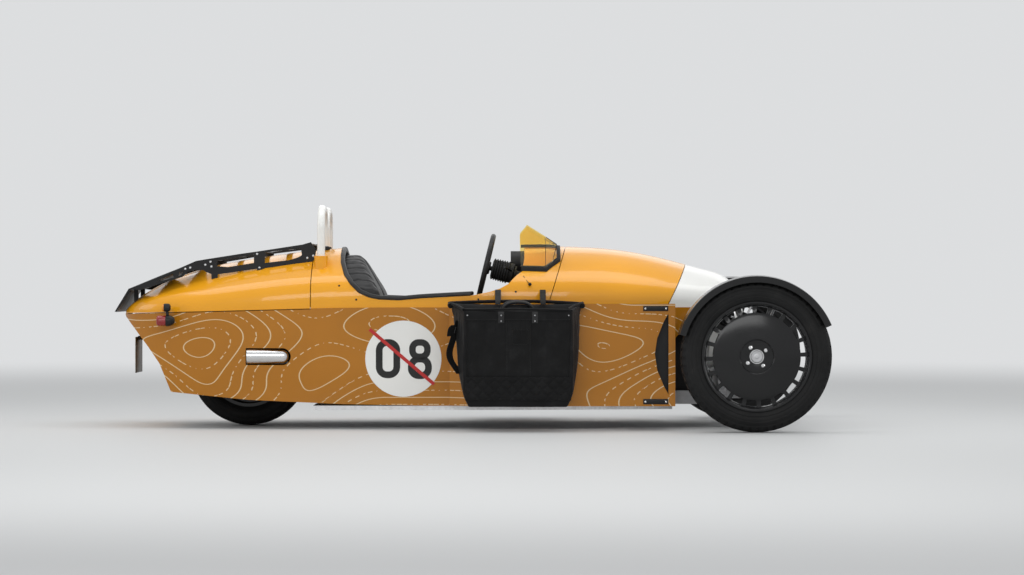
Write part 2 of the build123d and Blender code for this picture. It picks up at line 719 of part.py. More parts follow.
def firewall():
    return box(700, 710, -800, 800, 118 + seat_gap, 1000) & CABIN


# ---------------------------------------------------------------- rear axle
def rear_frame():
    """Cross member behind the seats with the swing arm's pivots and the bevel box on it."""
    low = 150
    beam = box(beam_rear_x, -530, -800, 800, low, 236) & CABIN
    face = arm_y + arm_radius + 1
    ear = box(pivot_x - 30, -540, -face - 14, -face, low, pivot_z + 30)
    ear += rod((pivot_x, -face - 4, pivot_z), (pivot_x, -arm_y + 23, pivot_z), pivot_radius + 5)
    case = box(pivot_x - 45, pivot_x + 90, -75, 98, 230, pivot_z + 60)
    shaft = rod((pivot_x, 90, pivot_z), (pivot_x, 138, pivot_z), 18)
    small = rod((pivot_x, 105, pivot_z), (pivot_x, 133, pivot_z), small_pulley_radius)
    return join(beam, ear, left_side(ear), case, shaft, small)


def swing_arm():
    """Two arms, their brace ahead of the tyre and the axle."""
    y = arm_y
    arm = rod((pivot_x, -y, pivot_z), (rear_axle_x, -y, rear_axle_z), arm_radius)
    arm += rod((pivot_x, -y - 20, pivot_z), (pivot_x, -y + 22, pivot_z), 30)
    arm += rod((rear_axle_x, -y - 20, rear_axle_z), (rear_axle_x, -y + 20, rear_axle_z), 36)
    arm -= rod((pivot_x, -y - 40, pivot_z), (pivot_x, -y + 40, pivot_z), pivot_radius + 5 + seat_gap)
    brace_z = pivot_z + (rear_axle_z - pivot_z) * (brace_x - pivot_x) / (rear_axle_x - pivot_x)
    brace = rod((brace_x, -y, brace_z), (brace_x, y, brace_z), 15)
    axle = rod((rear_axle_x, -y, rear_axle_z), (rear_axle_x, y, rear_axle_z), spindle_radius)
    return join(arm, left_side(arm), brace, axle)


def belt_outline(growth):
    """Tight loop round both pulleys, grown outwards."""
    big, small = pulley_radius + growth, small_pulley_radius + growth
    dx, dz = pivot_x - rear_axle_x, pivot_z - rear_axle_z
    span = hypot(dx, dz)
    lean, spread = atan2(dz, dx), asin((big - small) / span)
    y = 106

    def at(cx, cz, radius, angle):
        return (cx + radius * cos(angle), y, cz + radius * sin(angle))

    up, down = lean + radians(90) - spread, lean - radians(90) + spread
    rear = (rear_axle_x, rear_axle_z, big)
    front = (pivot_x, pivot_z, small)
    edges = [
        Line(at(*rear, up), at(*front, up)),
        ThreePointArc(at(*front, up), at(*front, lean), at(*front, down)),
        Line(at(*front, down), at(*rear, down)),
        ThreePointArc(at(*rear, down), at(*rear, lean + radians(180)), at(*rear, up)),
    ]
    return make_face(edges)


def drive_belt():
    loop = belt_outline(7) - belt_outline(seat_gap)
    return extrude(loop, amount=24, dir=(0, 1, 0))


def rear_damper():
    low, high = Vector(brace_x + 8, -60, 330), Vector(-570, -60, 500)
    along = high - low
    unit = rod(low, high, 9) + rod(low + along * 0.18, low + along * 0.85, 25)
    lug = box(-600, -500, -76, -44, 480, 520)
    lug -= side_prism([(back_line(400) - 12 - seat_gap, 400), (back_line(600) - 12 - seat_gap, 600),
                       (0, 600), (0, 400)], -200, 200)
    return unit + lug - rod((brace_x, -200, 302), (brace_x, 200, 302), 15 + seat_gap)


def exhaust():
    """Bullet tailpipes in the flanks, with the pipes that feed them."""
    y = -tip_y
    tip = rod((tip_rear_x, y, tip_z), (tip_front_x, y, tip_z), tip_radius)
    tip += Pos(tip_front_x, y, tip_z) * Sphere(tip_radius)
    tip -= rod((tip_rear_x - 1, y, tip_z), (tip_rear_x + 130, y, tip_z), tip_radius - 6)
    pipe = rod((tip_front_x, y + 6, tip_z), (-760, -380, 250), 22) + rod((-760, -380, 250), (beam_rear_x + 15, -380, 196), 22)
    pipe += Pos(-760, -380, 250) * Sphere(22)
    pipe -= box(beam_rear_x - seat_gap, -400, -600, -200, 0, 400)
    return mirrored(tip + pipe)


# ---------------------------------------------------------------- cockpit
def seat_cushions():
    shape = side_prism([(back_line(231) + 4, 230 + seat_gap), (cushion_front_x, 230 + seat_gap),
                        (cushion_front_x + 4, 330), (cushion_front_x - 20, 356), (-60, 338), (-300, 316),
                        (back_line(316) + 110, 300)], -seat_outer_y, -seat_inner_y)
    return mirrored(shape)


def seat_backs():
    lean = [(back_line(z) + seat_gap + 0.1, z) for z in (308, 872)]
    front = [(-628, 898), (-590, 902), (-564, 886), (-458, 698), (-356, 440), (-318, 370), (-314, 322)]
    shape = side_prism([*lean, *front], -seat_outer_y, -seat_inner_y)
    return mirrored(shape & upper_form(panel + 18, 489))


def tunnel():
    """Central tunnel with its gear lever and parking brake lever."""
    shell = box(-400, 700 - seat_gap, -tunnel_half, tunnel_half, 118 + seat_gap, 300)
    shell -= box(-396, 696, -tunnel_half + 5, tunnel_half - 5, 100, 294)
    lever = rod((170, 20, 290), (130, 20, 520), 8) + Pos(130, 20, 528) * Sphere(20)
    brake = rod((-60, -34, 285), (90, -34, 372), 9) + box(-80, -40, -44, -24, 288, 306)
    return join(shell, lever, brake)


def dashboard():
    """Panel under the scuttle with a round instrument pod in the middle."""
    sheet = box(306, 318, -800, 800, 660, 1000) & upper_form(panel + seat_gap, 40)
    pod = rod((222, 0, 838), (312, 0, 838), 62) - rod((221, 0, 838), (236, 0, 838), 54)
    small = rod((292, 118, 800), (310, 118, 800), 34)
    x, z = column_at(306 - steering_wheel_x)
    hole = rod((200, steering_wheel_y, z + 26), (420, steering_wheel_y, z - 28), 26)
    return (sheet + pod + small) - hole


def column_at(reach):
    """Point on the steering axis, reach mm ahead of the wheel's centre along X."""
    return steering_wheel_x + reach, steering_wheel_z - reach * tan(radians(column_tilt))


def steering_column():
    """Shroud and shaft tube from behind the wheel to the firewall."""
    points = [(*column_at(reach),) for reach in (16, 40, 150, 603)]
    (x0, z0), (x1, z1), (x2, z2), (x3, z3) = points
    y = steering_wheel_y
    tip = rod((x0, y, z0), (x1, y, z1), 12)
    shroud = rod((x1, y, z1), (x2, y, z2), 48, 40)
    shaft = rod((x2, y, z2), (x3, y, z3), 20)
    return join(tip, shroud, shaft) & box(0, 700 - seat_gap, -600, 600, 400, 1000)


def steering_wheel():
    """Rim, three spokes and hub, square to the steering axis."""
    rim_tube = steering_rim / 2
    ring = Torus(steering_wheel_radius - rim_tube, rim_tube)
    hub = Pos(0, 0, 6) * Cylinder(34, 34) - Pos(0, 0, 22) * Cylinder(12 + run_gap, 24)
    wheel = ring + hub
    for angle in (0, 180, 270):
        spoke = Pos((steering_wheel_radius - rim_tube) / 2 + 8, 0, 0) * Box(steering_wheel_radius - 34, 26, 5)
        wheel += Rot(0, 0, angle) * spoke
    plane = Plane(origin=(steering_wheel_x, steering_wheel_y, steering_wheel_z),
                  x_dir=(0, 1, 0), z_dir=(cos(radians(column_tilt)), 0, -sin(radians(column_tilt))))
    return plane * wheel


def pedals():
    """Three hanging pedals on one cross bar ahead of the driver."""
    bar = rod((650, -400, 470), (650, -120, 470), 9) + box(640, 700 - seat_gap, -410, -396, 455, 485)
    bar += box(640, 700 - seat_gap, -124, -110, 455, 485)
    for y in (-340, -250, -160):
        bar += rod((650, y, 470), (610, y, 250), 7) + box(600, 612, y - 26, y + 26, 210, 270)
    return bar


SCREEN_SIDE = [(275, 700), (270, 988), (305, 1028), (457, 932), (432, 820), (420, 700)]
SCREEN_SIDE_INNER = [(100, 600), (372, 600), (415, 700), (427, 821), (451.5, 929.5), (302.3, 1023.8), (100, 1151.6)]
SCREEN_PLAN = [(200, -72), (424, -72), (470, -120), (470, -310), (400, -395), (200, -402)]


def screen_shell(wall):
    """Thin faceted wrap of one screen, before it is cut to the scuttle."""
    outline = make_face(Polyline(*[(x, y, 650) for x, y in SCREEN_PLAN], close=True))
    outer = extrude(outline, amount=500, dir=(0, 0, 1))
    core = extrude(offset(outline, amount=-wall).face() + Pos(0, -235, 650) * Rectangle(500, 290), amount=500,
                   dir=(0, 0, 1))
    return outer, core


def windscreens():
    """Two wrap-round aero screens."""
    outer, core = screen_shell(5)
    shell = (side_prism(SCREEN_SIDE, -500, 0) & outer) - (side_prism(SCREEN_SIDE_INNER, -500, 0) & core)
    return mirrored(shell - upper_clear(14 + seat_gap))


def screen_bases():
    """Gasket strips between the screens and the scuttle."""
    outline = make_face(Polyline(*[(x, y, 650) for x, y in SCREEN_PLAN], close=True))
    ring = extrude(offset(outline, amount=6, kind=Kind.INTERSECTION).face(), amount=500, dir=(0, 0, 1))
    ring -= extrude(offset(outline, amount=-12, kind=Kind.INTERSECTION).face(), amount=500, dir=(0, 0, 1))
    ring &= box(275, 600, -500, 0, 600, 1000)
    return mirrored((ring & upper_clear(14)) - upper_clear(seat_gap))


def roll_hoops():
    """One inverted U tube behind each seat."""
    top = hoop_top_z - hoop_tube / 2
    foot = 600 + seat_gap
    points = [(hoop_x, -hoop_outer_y, foot), (hoop_x, -hoop_outer_y, top), (hoop_x, -hoop_inner_y, top),
              (hoop_x, -hoop_inner_y, foot)]
    return mirrored(bar_path(points, 100, hoop_tube / 2))


# ---------------------------------------------------------------- outside fittings
def pannier(side):
    """Soft bag hung on the side blade."""
    y0, y1 = side * (blade_y + seat_gap + 0.2), side * pannier_outer_y
    outline = [(-85, 640), (583, 640), (575, 560), (539, 128), (500, 122), (20, 122), (-27, 128), (-75, 560)]
    return side_prism(outline, y0, y1)


def pannier_straps():
    """Hooks from the bags' tops over to the body side, and a rail on each."""
    solid = None
    for x in (144, 368):
        hook = make_face(Polyline((x, -654, 640.5), (x, -654, 645), (x, -500, 700), (x, -490, 694),
                                  (x, -620, 640.5), close=True))
        bar = extrude(hook, amount=30, dir=(1, 0, 0))
        solid = bar if solid is None else solid + bar
    solid += box(120, 424, -654, -626, 640.5, 645)
    return mirrored(solid - upper_clear(seat_gap))


def tail_lamps():
    """Lamp and indicator pods on short stays at the tail."""
    y = -lamp_stay_y
    lamp = rod((-1565, y, 544), (-1505, y, 544), 29) + rod((-1505, y, 544), (-1467, y, 544), 27, 12)
    blinker = rod((-1537, y, 609), (-1493, y, 609), 21)
    stem = rod((-1515, y, 560), (-1515, y, 600), 7)
    stay = rod((-1500, y, 544), (-1500, -330, 544), 9)
    return mirrored(join(lamp, blinker, stem, stay) - hull_form(-seat_gap))


def number_plate():
    """Blank plate with its lamp bar and bracket."""
    plate = box(-1708, -1704, -140, 140, 271, 458)
    bar = box(-1704, -1690, -60, 60, 440, 462)
    arm = box(-1700, -1600, -22, 22, 440, 452)
    stern = [(x - 0.5, z) for x, z in STERN_EDGE] + [(-1000, 566), (-1000, 183)]
    return join(plate, bar, arm) - side_prism(stern, -200, 200)


# Side plate of the rack and its windows, as (x, z) points.
RACK_SIDE = [(-768, 902), (-794, 942), (-835, 930), (-952, 912), (-1069, 894), (-1155, 882), (-1333, 854),
             (-1379, 846), (-1461, 810), (-1562, 770), (-1725, 703), (-1664, 698), (-1613, 714), (-1501, 749),
             (-1450, 764), (-1420, 790), (-1394, 800), (-1343, 800), (-1328, 790), (-1288, 775), (-1216, 785),
             (-1043, 810), (-952, 818), (-850, 826), (-809, 843), (-774, 851)]
RACK_WINDOWS = [
    [(-845, 912), (-1028, 889), (-1028, 836), (-901, 851), (-855, 866), (-840, 876)],
    [(-1084, 879), (-1277, 846), (-1272, 820), (-1216, 815), (-1084, 836)],
    [(-1583, 741), (-1522, 752), (-1491, 762), (-1496, 780)],
    [(-1468, 769), (-1455, 774), (-1440, 798), (-1461, 790)],
]
RACK_SLATS = [(-806, 934), (-925, 913), (-1043, 895), (-1180, 875), (-1308, 855)]


def luggage_rack():
    """Flat-plate rack on the tail lid."""
    y, t = rack_y, 6
    plate = side_prism(RACK_SIDE, -y, -y + t)
    for window in RACK_WINDOWS:
        plate -= side_prism(window, -y - 1, -y + t + 1)
    feet = box(-1062, -1028, -y, -y + 14, 700, 830) + box(-1300, -1268, -y, -y + 14, 650, 785)
    feet += box(-812, -786, -y, -y + 14, 780, 870)
    plate = (plate + feet) - upper_clear(seat_gap)
    rack = plate + left_side(plate)
    for x, z in RACK_SLATS:
        rack += box(x - 16, x + 16, -y + 1, y - 1, z - 5, z + 1)
    deck = side_prism([(-1359, 836), (-1486, 788), (-1720, 696), (-1720, 704), (-1486, 796), (-1359, 844)],
                      -y + 1, y - 1)
    for x0, x1 in ((-1700, -1550), (-1530, -1390)):
        for side in (-1, 1):
            low = [(x0, side * 20), (x1, side * 20), ((x0 + x1) / 2, side * (y - 50))]
            deck -= extrude(make_face(Polyline(*[(a, b, 500) for a, b in low], close=True)), amount=500,
                            dir=(0, 0, 1))
    tail = side_prism([(-1720, 696), (-1792, 586), (-1800, 588), (-1728, 706), (-1720, 704)], -y + 60, y - 60)
    foot = box(-1712, -1690, -150, -130, 600, 704) + box(-1712, -1690, 130, 150, 600, 704)
    return join(rack, deck, tail, foot - upper_clear(seat_gap))


# ---------------------------------------------------------------- write everything
def build_all():
    walls = flanks()
    save(walls & box(-4000, 4000, -900, 0, 0, 2000), "flank_right")
    save(walls & box(-4000, 4000, 0, 900, 0, 2000), "flank_left")
    for side, name in ((-1, "right"), (1, "left")):
        for make in (front_tyre, front_wheel, upright, fender, sideblade, pannier):
            save(make(side), f"{make.__name__}_{name}")
    for make in (
        cockpit_surround, cockpit_trim, tail_lid, bonnet, nose_cowl, nose_grille, tail_panel, floor_pan,
        bulkhead, boot_tub, blade_brackets, side_radiators, rear_tyre, rear_wheel, wishbones, dampers,
        front_frame, steering_rack, headlamps, headlamp_lenses, engine, firewall, rear_frame, swing_arm,
        drive_belt, rear_damper, exhaust, seat_cushions, seat_backs, tunnel, dashboard, steering_column,
        steering_wheel, pedals, windscreens, screen_bases, roll_hoops, pannier_straps, tail_lamps,
        number_plate, luggage_rack,
    ):
        save(make(), make.__name__)


build_all()
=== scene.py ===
"""Looks of the open three-wheeled car: materials, soft goods, tyres, trim and the studio round it."""
import json
import math

import bpy
from bpy.props import FloatProperty, FloatVectorProperty, PointerProperty
from mathutils import Matrix, Vector


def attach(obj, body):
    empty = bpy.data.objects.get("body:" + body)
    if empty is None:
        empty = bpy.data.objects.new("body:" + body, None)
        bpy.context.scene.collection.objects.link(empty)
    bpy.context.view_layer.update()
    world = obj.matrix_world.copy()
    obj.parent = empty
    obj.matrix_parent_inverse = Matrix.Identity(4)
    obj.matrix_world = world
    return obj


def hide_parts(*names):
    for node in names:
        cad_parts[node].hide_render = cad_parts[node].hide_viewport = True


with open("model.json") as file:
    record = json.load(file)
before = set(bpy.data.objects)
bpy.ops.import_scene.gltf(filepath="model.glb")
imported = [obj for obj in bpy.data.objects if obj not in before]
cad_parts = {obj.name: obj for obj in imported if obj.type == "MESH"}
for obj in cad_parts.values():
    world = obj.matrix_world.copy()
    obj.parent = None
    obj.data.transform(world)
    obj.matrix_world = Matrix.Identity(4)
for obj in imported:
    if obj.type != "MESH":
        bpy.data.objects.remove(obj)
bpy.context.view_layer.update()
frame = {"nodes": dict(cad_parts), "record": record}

bl_info = {
    "name": "Open three-wheeled car",
    "version": (1, 0, 0),
    "blender": (4, 5, 0),
    "location": "View3D > Sidebar > Three-wheeler",
    "description": "Dresses the solid model of an open two-seat three-wheeler",
    "category": "Object",
}

# Places and sizes of the car, in metres. X runs forward, Y to the car's left, Z up from the ground.
SIDES = ((-1, "right"), (1, "left"))
MIRROR = Matrix.Diagonal((1, -1, 1, 1))
FRONT = Vector((1.428, 0.0, 0.372))
REAR = Vector((-1.128, 0.0, 0.305))
HALF_TRACK = 0.84
FRONT_TYRE = dict(radius=0.372, width=0.130, rim=0.270, half_rim=0.056, steps=168, grooves=(-0.34, 0.34))
REAR_TYRE = dict(radius=0.305, width=0.195, rim=0.208, half_rim=0.088, steps=144, grooves=(-0.62, -0.2, 0.2, 0.62))
NUT_COUNT, NUT_RING, NUT_ANGLE = 4, 0.054, 35
STEERING_HUB = Vector((0.096, -0.235, 0.815))
STEERING_TILT = math.radians(13.7)
STEERING_RADIUS = 0.162
HEADLAMP = Vector((1.290, -0.455, 0.560))
TAIL_LAMP = Vector((-1.535, -0.432, 0.544))
FLASHER = Vector((-1.515, -0.432, 0.609))
DAMPER_FOOT = Vector((1.428, -0.640, 0.238))
DAMPER_HEAD = Vector((1.428, -0.376, 0.512))
NUMBER_DISC = (-0.316, 0.354, 0.191)
BLADE_FACE_Y = -0.6425
BLADE_PLATE_HEIGHTS = (0.6065, 0.1425)
RACK_SIDE_Y = 0.300
HOOP_LEG = (-0.739, 0.082)
FLOOR_Z = 0.1222

BACKDROP = (0.72, 0.73, 0.74)
# Name, place, aim, size and power of each soft light.
LIGHTS = (
    ("overhead", (0.0, -0.4, 4.4), (0, 0, 0), (6.5, 2.2), 95),
    ("key", (-0.5, -6.8, 3.2), (0, 0, 0.5), (6.0, 2.0), 120),
    ("rim", (0.5, 5.5, 3.6), (0, 0, 0.6), (7.0, 2.4), 34),
    ("nose", (6.5, -1.5, 2.2), (1.2, 0, 0.5), (2.4, 2.4), 36),
    ("tail", (-6.5, -1.5, 2.4), (-1.2, 0, 0.5), (2.4, 2.4), 36),
)


# ---------------------------------------------------------------- user settings
class PaintSettings(bpy.types.PropertyGroup):
    body: FloatVectorProperty(
        name="Body paint", description="Colour of the upper body", subtype="COLOR", size=3,
        default=(0.86, 0.375, 0.012), min=0, max=1)
    flank: FloatVectorProperty(
        name="Flank paint", description="Colour of the lower body and the side blades", subtype="COLOR", size=3,
        default=(0.44, 0.168, 0.009), min=0, max=1)
    line: FloatVectorProperty(
        name="Contour lines", description="Colour of the contour lines on the flanks", subtype="COLOR", size=3,
        default=(0.72, 0.55, 0.32), min=0, max=1)
    white: FloatVectorProperty(
        name="White", description="Colour of the nose band, hoops and roundels", subtype="COLOR", size=3,
        default=(0.86, 0.86, 0.83), min=0, max=1)
    stripe: FloatVectorProperty(
        name="Stripe", description="Colour of the stripe over the roundel", subtype="COLOR", size=3,
        default=(0.50, 0.016, 0.014), min=0, max=1)


class StageSettings(bpy.types.PropertyGroup):
    lens: FloatProperty(name="Lens", description="Focal length of the camera", default=108.5, min=20, max=300)
    distance: FloatProperty(
        name="Distance", description="From the camera to the car's middle plane", default=16.0, subtype="DISTANCE")
    height: FloatProperty(
        name="Eye height", description="Height of the camera", default=0.711, subtype="DISTANCE")
    along: FloatProperty(
        name="Along", description="Place of the camera along the car", default=0.229, subtype="DISTANCE")


# ---------------------------------------------------------------- materials
def shade(colour, factor):
    """The colour made darker or paler."""
    return tuple(min(1.0, c * factor) for c in colour[:3])


class Tree:
    """Node tree of a material or a world, with short ways to add its nodes."""

    def __init__(self, owner):
        owner.use_nodes = True
        self.nodes, self.links = owner.node_tree.nodes, owner.node_tree.links

    def feed(self, socket, value):
        """Link an output to the socket, or set a number, vector or colour on it."""
        if hasattr(value, "is_output"):
            self.links.new(value, socket)
        elif socket.type == "RGBA":
            socket.default_value = (*value[:3], 1)
        else:
            socket.default_value = value

    def add(self, kind, inputs=None, **settings):
        """New shader node with these settings and inputs."""
        made = self.nodes.new("ShaderNode" + kind)
        for key, value in settings.items():
            setattr(made, key, value)
        for key, value in (inputs or {}).items():
            self.feed(made.inputs[key], value)
        return made

    def calc(self, operation, *values):
        """Result of one sum on outputs or numbers."""
        return self.add("Math", dict(enumerate(values)), operation=operation).outputs[0]

    def place(self):
        """Object coordinates."""
        return self.add("TexCoord").outputs["Object"]

    def noise(self, scale, detail=3.0, rough=0.5, vector=None, stretch=None):
        """Factor of a noise, on Object coordinates unless told otherwise."""
        vector = vector or self.place()
        if stretch:
            vector = self.add("Mapping", {"Scale": stretch, "Vector": vector}).outputs["Vector"]
        inputs = {"Scale": scale, "Detail": detail, "Roughness": rough, "Vector": vector}
        return self.add("TexNoise", inputs).outputs["Fac"]

    def ramp(self, factor, stops):
        """Colour of a ramp through (place, colour) stops."""
        made = self.add("ValToRGB", {"Fac": factor})
        ends = made.color_ramp.elements
        for end, (where, colour) in ((ends[0], stops[0]), (ends[1], stops[-1])):
            end.position, end.color = where, (*colour, 1)
        for where, colour in stops[1:-1]:
            ends.new(where).color = (*colour, 1)
        return made.outputs["Color"]

    def mix(self, factor, a, b):
        """Colour between two colours."""
        return self.add("Mix", {0: factor, 6: a, 7: b}, data_type="RGBA").outputs[2]


class Finish(Tree):
    """New material with these values on its Principled BSDF."""

    def __init__(self, name, **sockets):
        self.material = bpy.data.materials.new(name)
        super().__init__(self.material)
        self.shader = self.nodes["Principled BSDF"]
        for key, value in sockets.items():
            self.feed(self.shader.inputs[key.replace("_", " ")], value)

    def mottle(self, factor, colour, dark, pale, low=0.3, high=0.7):
        """Base colour that drifts from a darker to a paler shade of one colour with the factor."""
        drift = self.ramp(factor, [(low, shade(colour, dark)), (high, shade(colour, pale))])
        self.feed(self.shader.inputs["Base Color"], drift)

    def roughness(self, scale, low, high):
        """Roughness that varies from low to high in spots."""
        spots = self.add("MapRange", {"To Min": low, "To Max": high, "Value": self.noise(scale, 4)})
        self.feed(self.shader.inputs["Roughness"], spots.outputs["Result"])

    def bump(self, height, strength=0.2, distance=0.001, onto=None):
        """Small relief, on top of another one's normal where given; returns its own normal."""
        inputs = {"Strength": strength, "Distance": distance, "Height": height}
        if onto:
            inputs["Normal"] = onto
        made = self.add("Bump", inputs)
        self.feed(self.shader.inputs["Normal"], made.outputs["Normal"])
        return made.outputs["Normal"]


def paint(name, colour, rough=0.22, coat=1.0):
    """Coated paint with a faint mottle and orange peel."""
    made = Finish(name, Coat_Weight=coat * 0.55, Coat_Roughness=0.04, Specular_IOR_Level=0.25)
    made.mottle(made.noise(2.2, 2), colour, 0.94, 1.05)
    made.roughness(14, rough * 0.85, rough * 1.25)
    made.bump(made.noise(900, 1), 0.02, 0.0004)
    return made.material


def contour_lines(tree, levels=17.0, scale=2.6, half_width=0.0019, step=0.004):
    """Even, thin lines along the levels of a smooth field over X and Z; returns (height, on a line)."""
    calc = tree.calc
    flat = tree.add("Mapping", {"Scale": (0.62, 0.0, 1.0), "Location": (3.7, 0.0, 1.3), "Vector": tree.place()})

    def field(dx, dz):
        moved = tree.add("VectorMath", {0: flat.outputs["Vector"], 1: (dx, 0, dz)})
        return tree.noise(scale, 0.0, 0.5, moved.outputs["Vector"])

    here = field(0, 0)
    rise_x = calc("SUBTRACT", field(step, 0), here)
    rise_z = calc("SUBTRACT", field(0, step), here)
    slope = calc("SQRT", calc("ADD", calc("MULTIPLY", rise_x, rise_x), calc("MULTIPLY", rise_z, rise_z)))
    slope = calc("MAXIMUM", calc("DIVIDE", slope, step), 0.12)
    height = calc("MULTIPLY", here, levels)
    off = calc("ABSOLUTE", calc("SUBTRACT", calc("FRACT", height), 0.5))
    off = calc("DIVIDE", calc("DIVIDE", off, levels), slope)
    return height, calc("LESS_THAN", off, half_width)


def contour_paint(name, colour, line):
    """Paint crossed by thin contour lines on its outward faces, every other line dashed."""
    made = Finish(name, Coat_Weight=0.45, Coat_Roughness=0.05, Specular_IOR_Level=0.2)
    calc = made.calc
    height, on_line = contour_lines(made)
    odd = calc("LESS_THAN", calc("FRACT", calc("MULTIPLY", calc("FLOOR", height), 0.5)), 0.25)
    squares = made.add("Mapping", {"Scale": (1.0, 0.0, 1.0), "Rotation": (0.0, 0.6, 0.0),
                                   "Location": (0.0, 0.01, 0.0), "Vector": made.place()})
    dash = made.add("TexChecker", {"Scale": 46.0, "Vector": squares.outputs["Vector"]})
    solid = calc("MAXIMUM", odd, dash.outputs["Fac"])
    facing = made.add("SeparateXYZ", {0: made.add("NewGeometry").outputs["True Normal"]})
    spot = made.add("SeparateXYZ", {0: made.place()})
    outward = calc("MULTIPLY", facing.outputs["Y"], calc("SIGN", spot.outputs["Y"]))
    drawn = calc("MULTIPLY", calc("MULTIPLY", on_line, solid), calc("GREATER_THAN", outward, 0.5))
    tint = made.ramp(made.noise(2.2, 2), [(0.3, shade(colour, 0.92)), (0.7, shade(colour, 1.06))])
    made.feed(made.shader.inputs["Base Color"], made.mix(drawn, tint, line))
    made.roughness(14, 0.20, 0.30)
    return made.material


def metal(name, colour, rough, scale=60, stretch=None, strength=0.08):
    """Bare metal with a fine grain."""
    made = Finish(name, Metallic=1.0)
    grain = made.noise(scale, 5, 0.6, stretch=stretch)
    made.mottle(grain, colour, 0.8, 1.08, 0.25, 0.75)
    made.roughness(scale * 0.4, rough * 0.75, rough * 1.3)
    made.bump(grain, strength, 0.0006)
    return made.material


def cast_metal(name, colour):
    """Rough cast metal."""
    made = Finish(name, Metallic=1.0)
    made.mottle(made.noise(9, 4), colour, 0.72, 1.0)
    made.roughness(30, 0.42, 0.62)
    made.bump(made.noise(420, 3), 0.25, 0.0008)
    return made.material


def black_coat(name, colour, rough, grain=700, strength=0.15):
    """Powder-coated or moulded black."""
    made = Finish(name, Specular_IOR_Level=0.28)
    made.mottle(made.noise(5, 4), colour, 0.75, 1.3)
    made.roughness(25, rough * 0.85, rough * 1.2)
    made.bump(made.noise(grain, 2), strength, 0.0005)
    return made.material


def gloss_black(name):
    """Black lacquer of the wheels, fenders and lamps."""
    made = Finish(name, Coat_Weight=0.4, Coat_Roughness=0.16, Specular_IOR_Level=0.2)
    made.mottle(made.noise(4, 3), (0.0045, 0.0045, 0.005), 0.8, 1.25)
    made.roughness(20, 0.16, 0.26)
    return made.material


def tyre_rubber(name):
    """Black rubber with a little dust in patches."""
    made = Finish(name, Specular_IOR_Level=0.2)
    dust = made.ramp(made.noise(7, 6, 0.6), [
        (0.35, (0.007, 0.007, 0.0072)), (0.62, (0.012, 0.012, 0.012)), (0.8, (0.021, 0.020, 0.019))])
    made.feed(made.shader.inputs["Base Color"], dust)
    made.roughness(30, 0.52, 0.74)
    made.bump(made.noise(800, 3), 0.2, 0.0006)
    return made.material


def leather(name, colour):
    """Grained leather: small pebbles with finer pores."""
    made = Finish(name, Sheen_Weight=0.04, Specular_IOR_Level=0.3)
    cells = made.add("TexVoronoi", {"Vector": made.place()}, feature="DISTANCE_TO_EDGE")
    made.feed(cells.inputs["Scale"], 420)
    made.mottle(made.noise(6, 4), colour, 0.8, 1.35, 0.3, 0.72)
    made.roughness(18, 0.36, 0.52)
    pebbles = made.bump(cells.outputs["Distance"], 0.35, 0.0006)
    made.bump(made.noise(40, 3), 0.12, 0.002, pebbles)
    return made.material


def canvas(name, colour):
    """Waxed canvas: plain weave, creased and rubbed paler in places."""
    made = Finish(name, Sheen_Weight=0.05, Sheen_Roughness=0.5, Specular_IOR_Level=0.15)
    threads = [made.add("TexWave", {"Scale": 190, "Distortion": 0.6, "Detail": 1.0, "Vector": made.place()},
                        wave_type="BANDS", bands_direction=direction).outputs["Fac"] for direction in ("X", "Z")]
    weave = made.calc("MAXIMUM", *threads)
    rub = made.ramp(made.noise(11, 6, 0.65), [(0.36, shade(colour, 0.7)), (0.56, colour), (0.74, shade(colour, 1.9))])
    made.feed(made.shader.inputs["Base Color"], rub)
    made.roughness(16, 0.55, 0.82)
    creases = made.bump(made.noise(22, 5, 0.6), 0.45, 0.004)
    made.bump(weave, 0.35, 0.0007, creases)
    return made.material


def clear(name, colour, rough=0.02, ior=1.45):
    """Clear or tinted glass or acrylic."""
    made = Finish(name, Base_Color=colour, Transmission_Weight=1.0, IOR=ior, Coat_Weight=0.3)
    made.roughness(6, rough, rough * 2.5)
    return made.material


def lamp_lens(name, colour):
    """Moulded lens with fine flutes."""
    made = Finish(name, Base_Color=colour, Transmission_Weight=0.12, Coat_Weight=0.5)
    flutes = made.add("TexWave", {"Scale": 70, "Vector": made.place()}, wave_type="BANDS", bands_direction="Z")
    made.roughness(20, 0.10, 0.2)
    made.bump(flutes.outputs["Fac"], 0.4, 0.001)
    return made.material


MATERIALS = {}


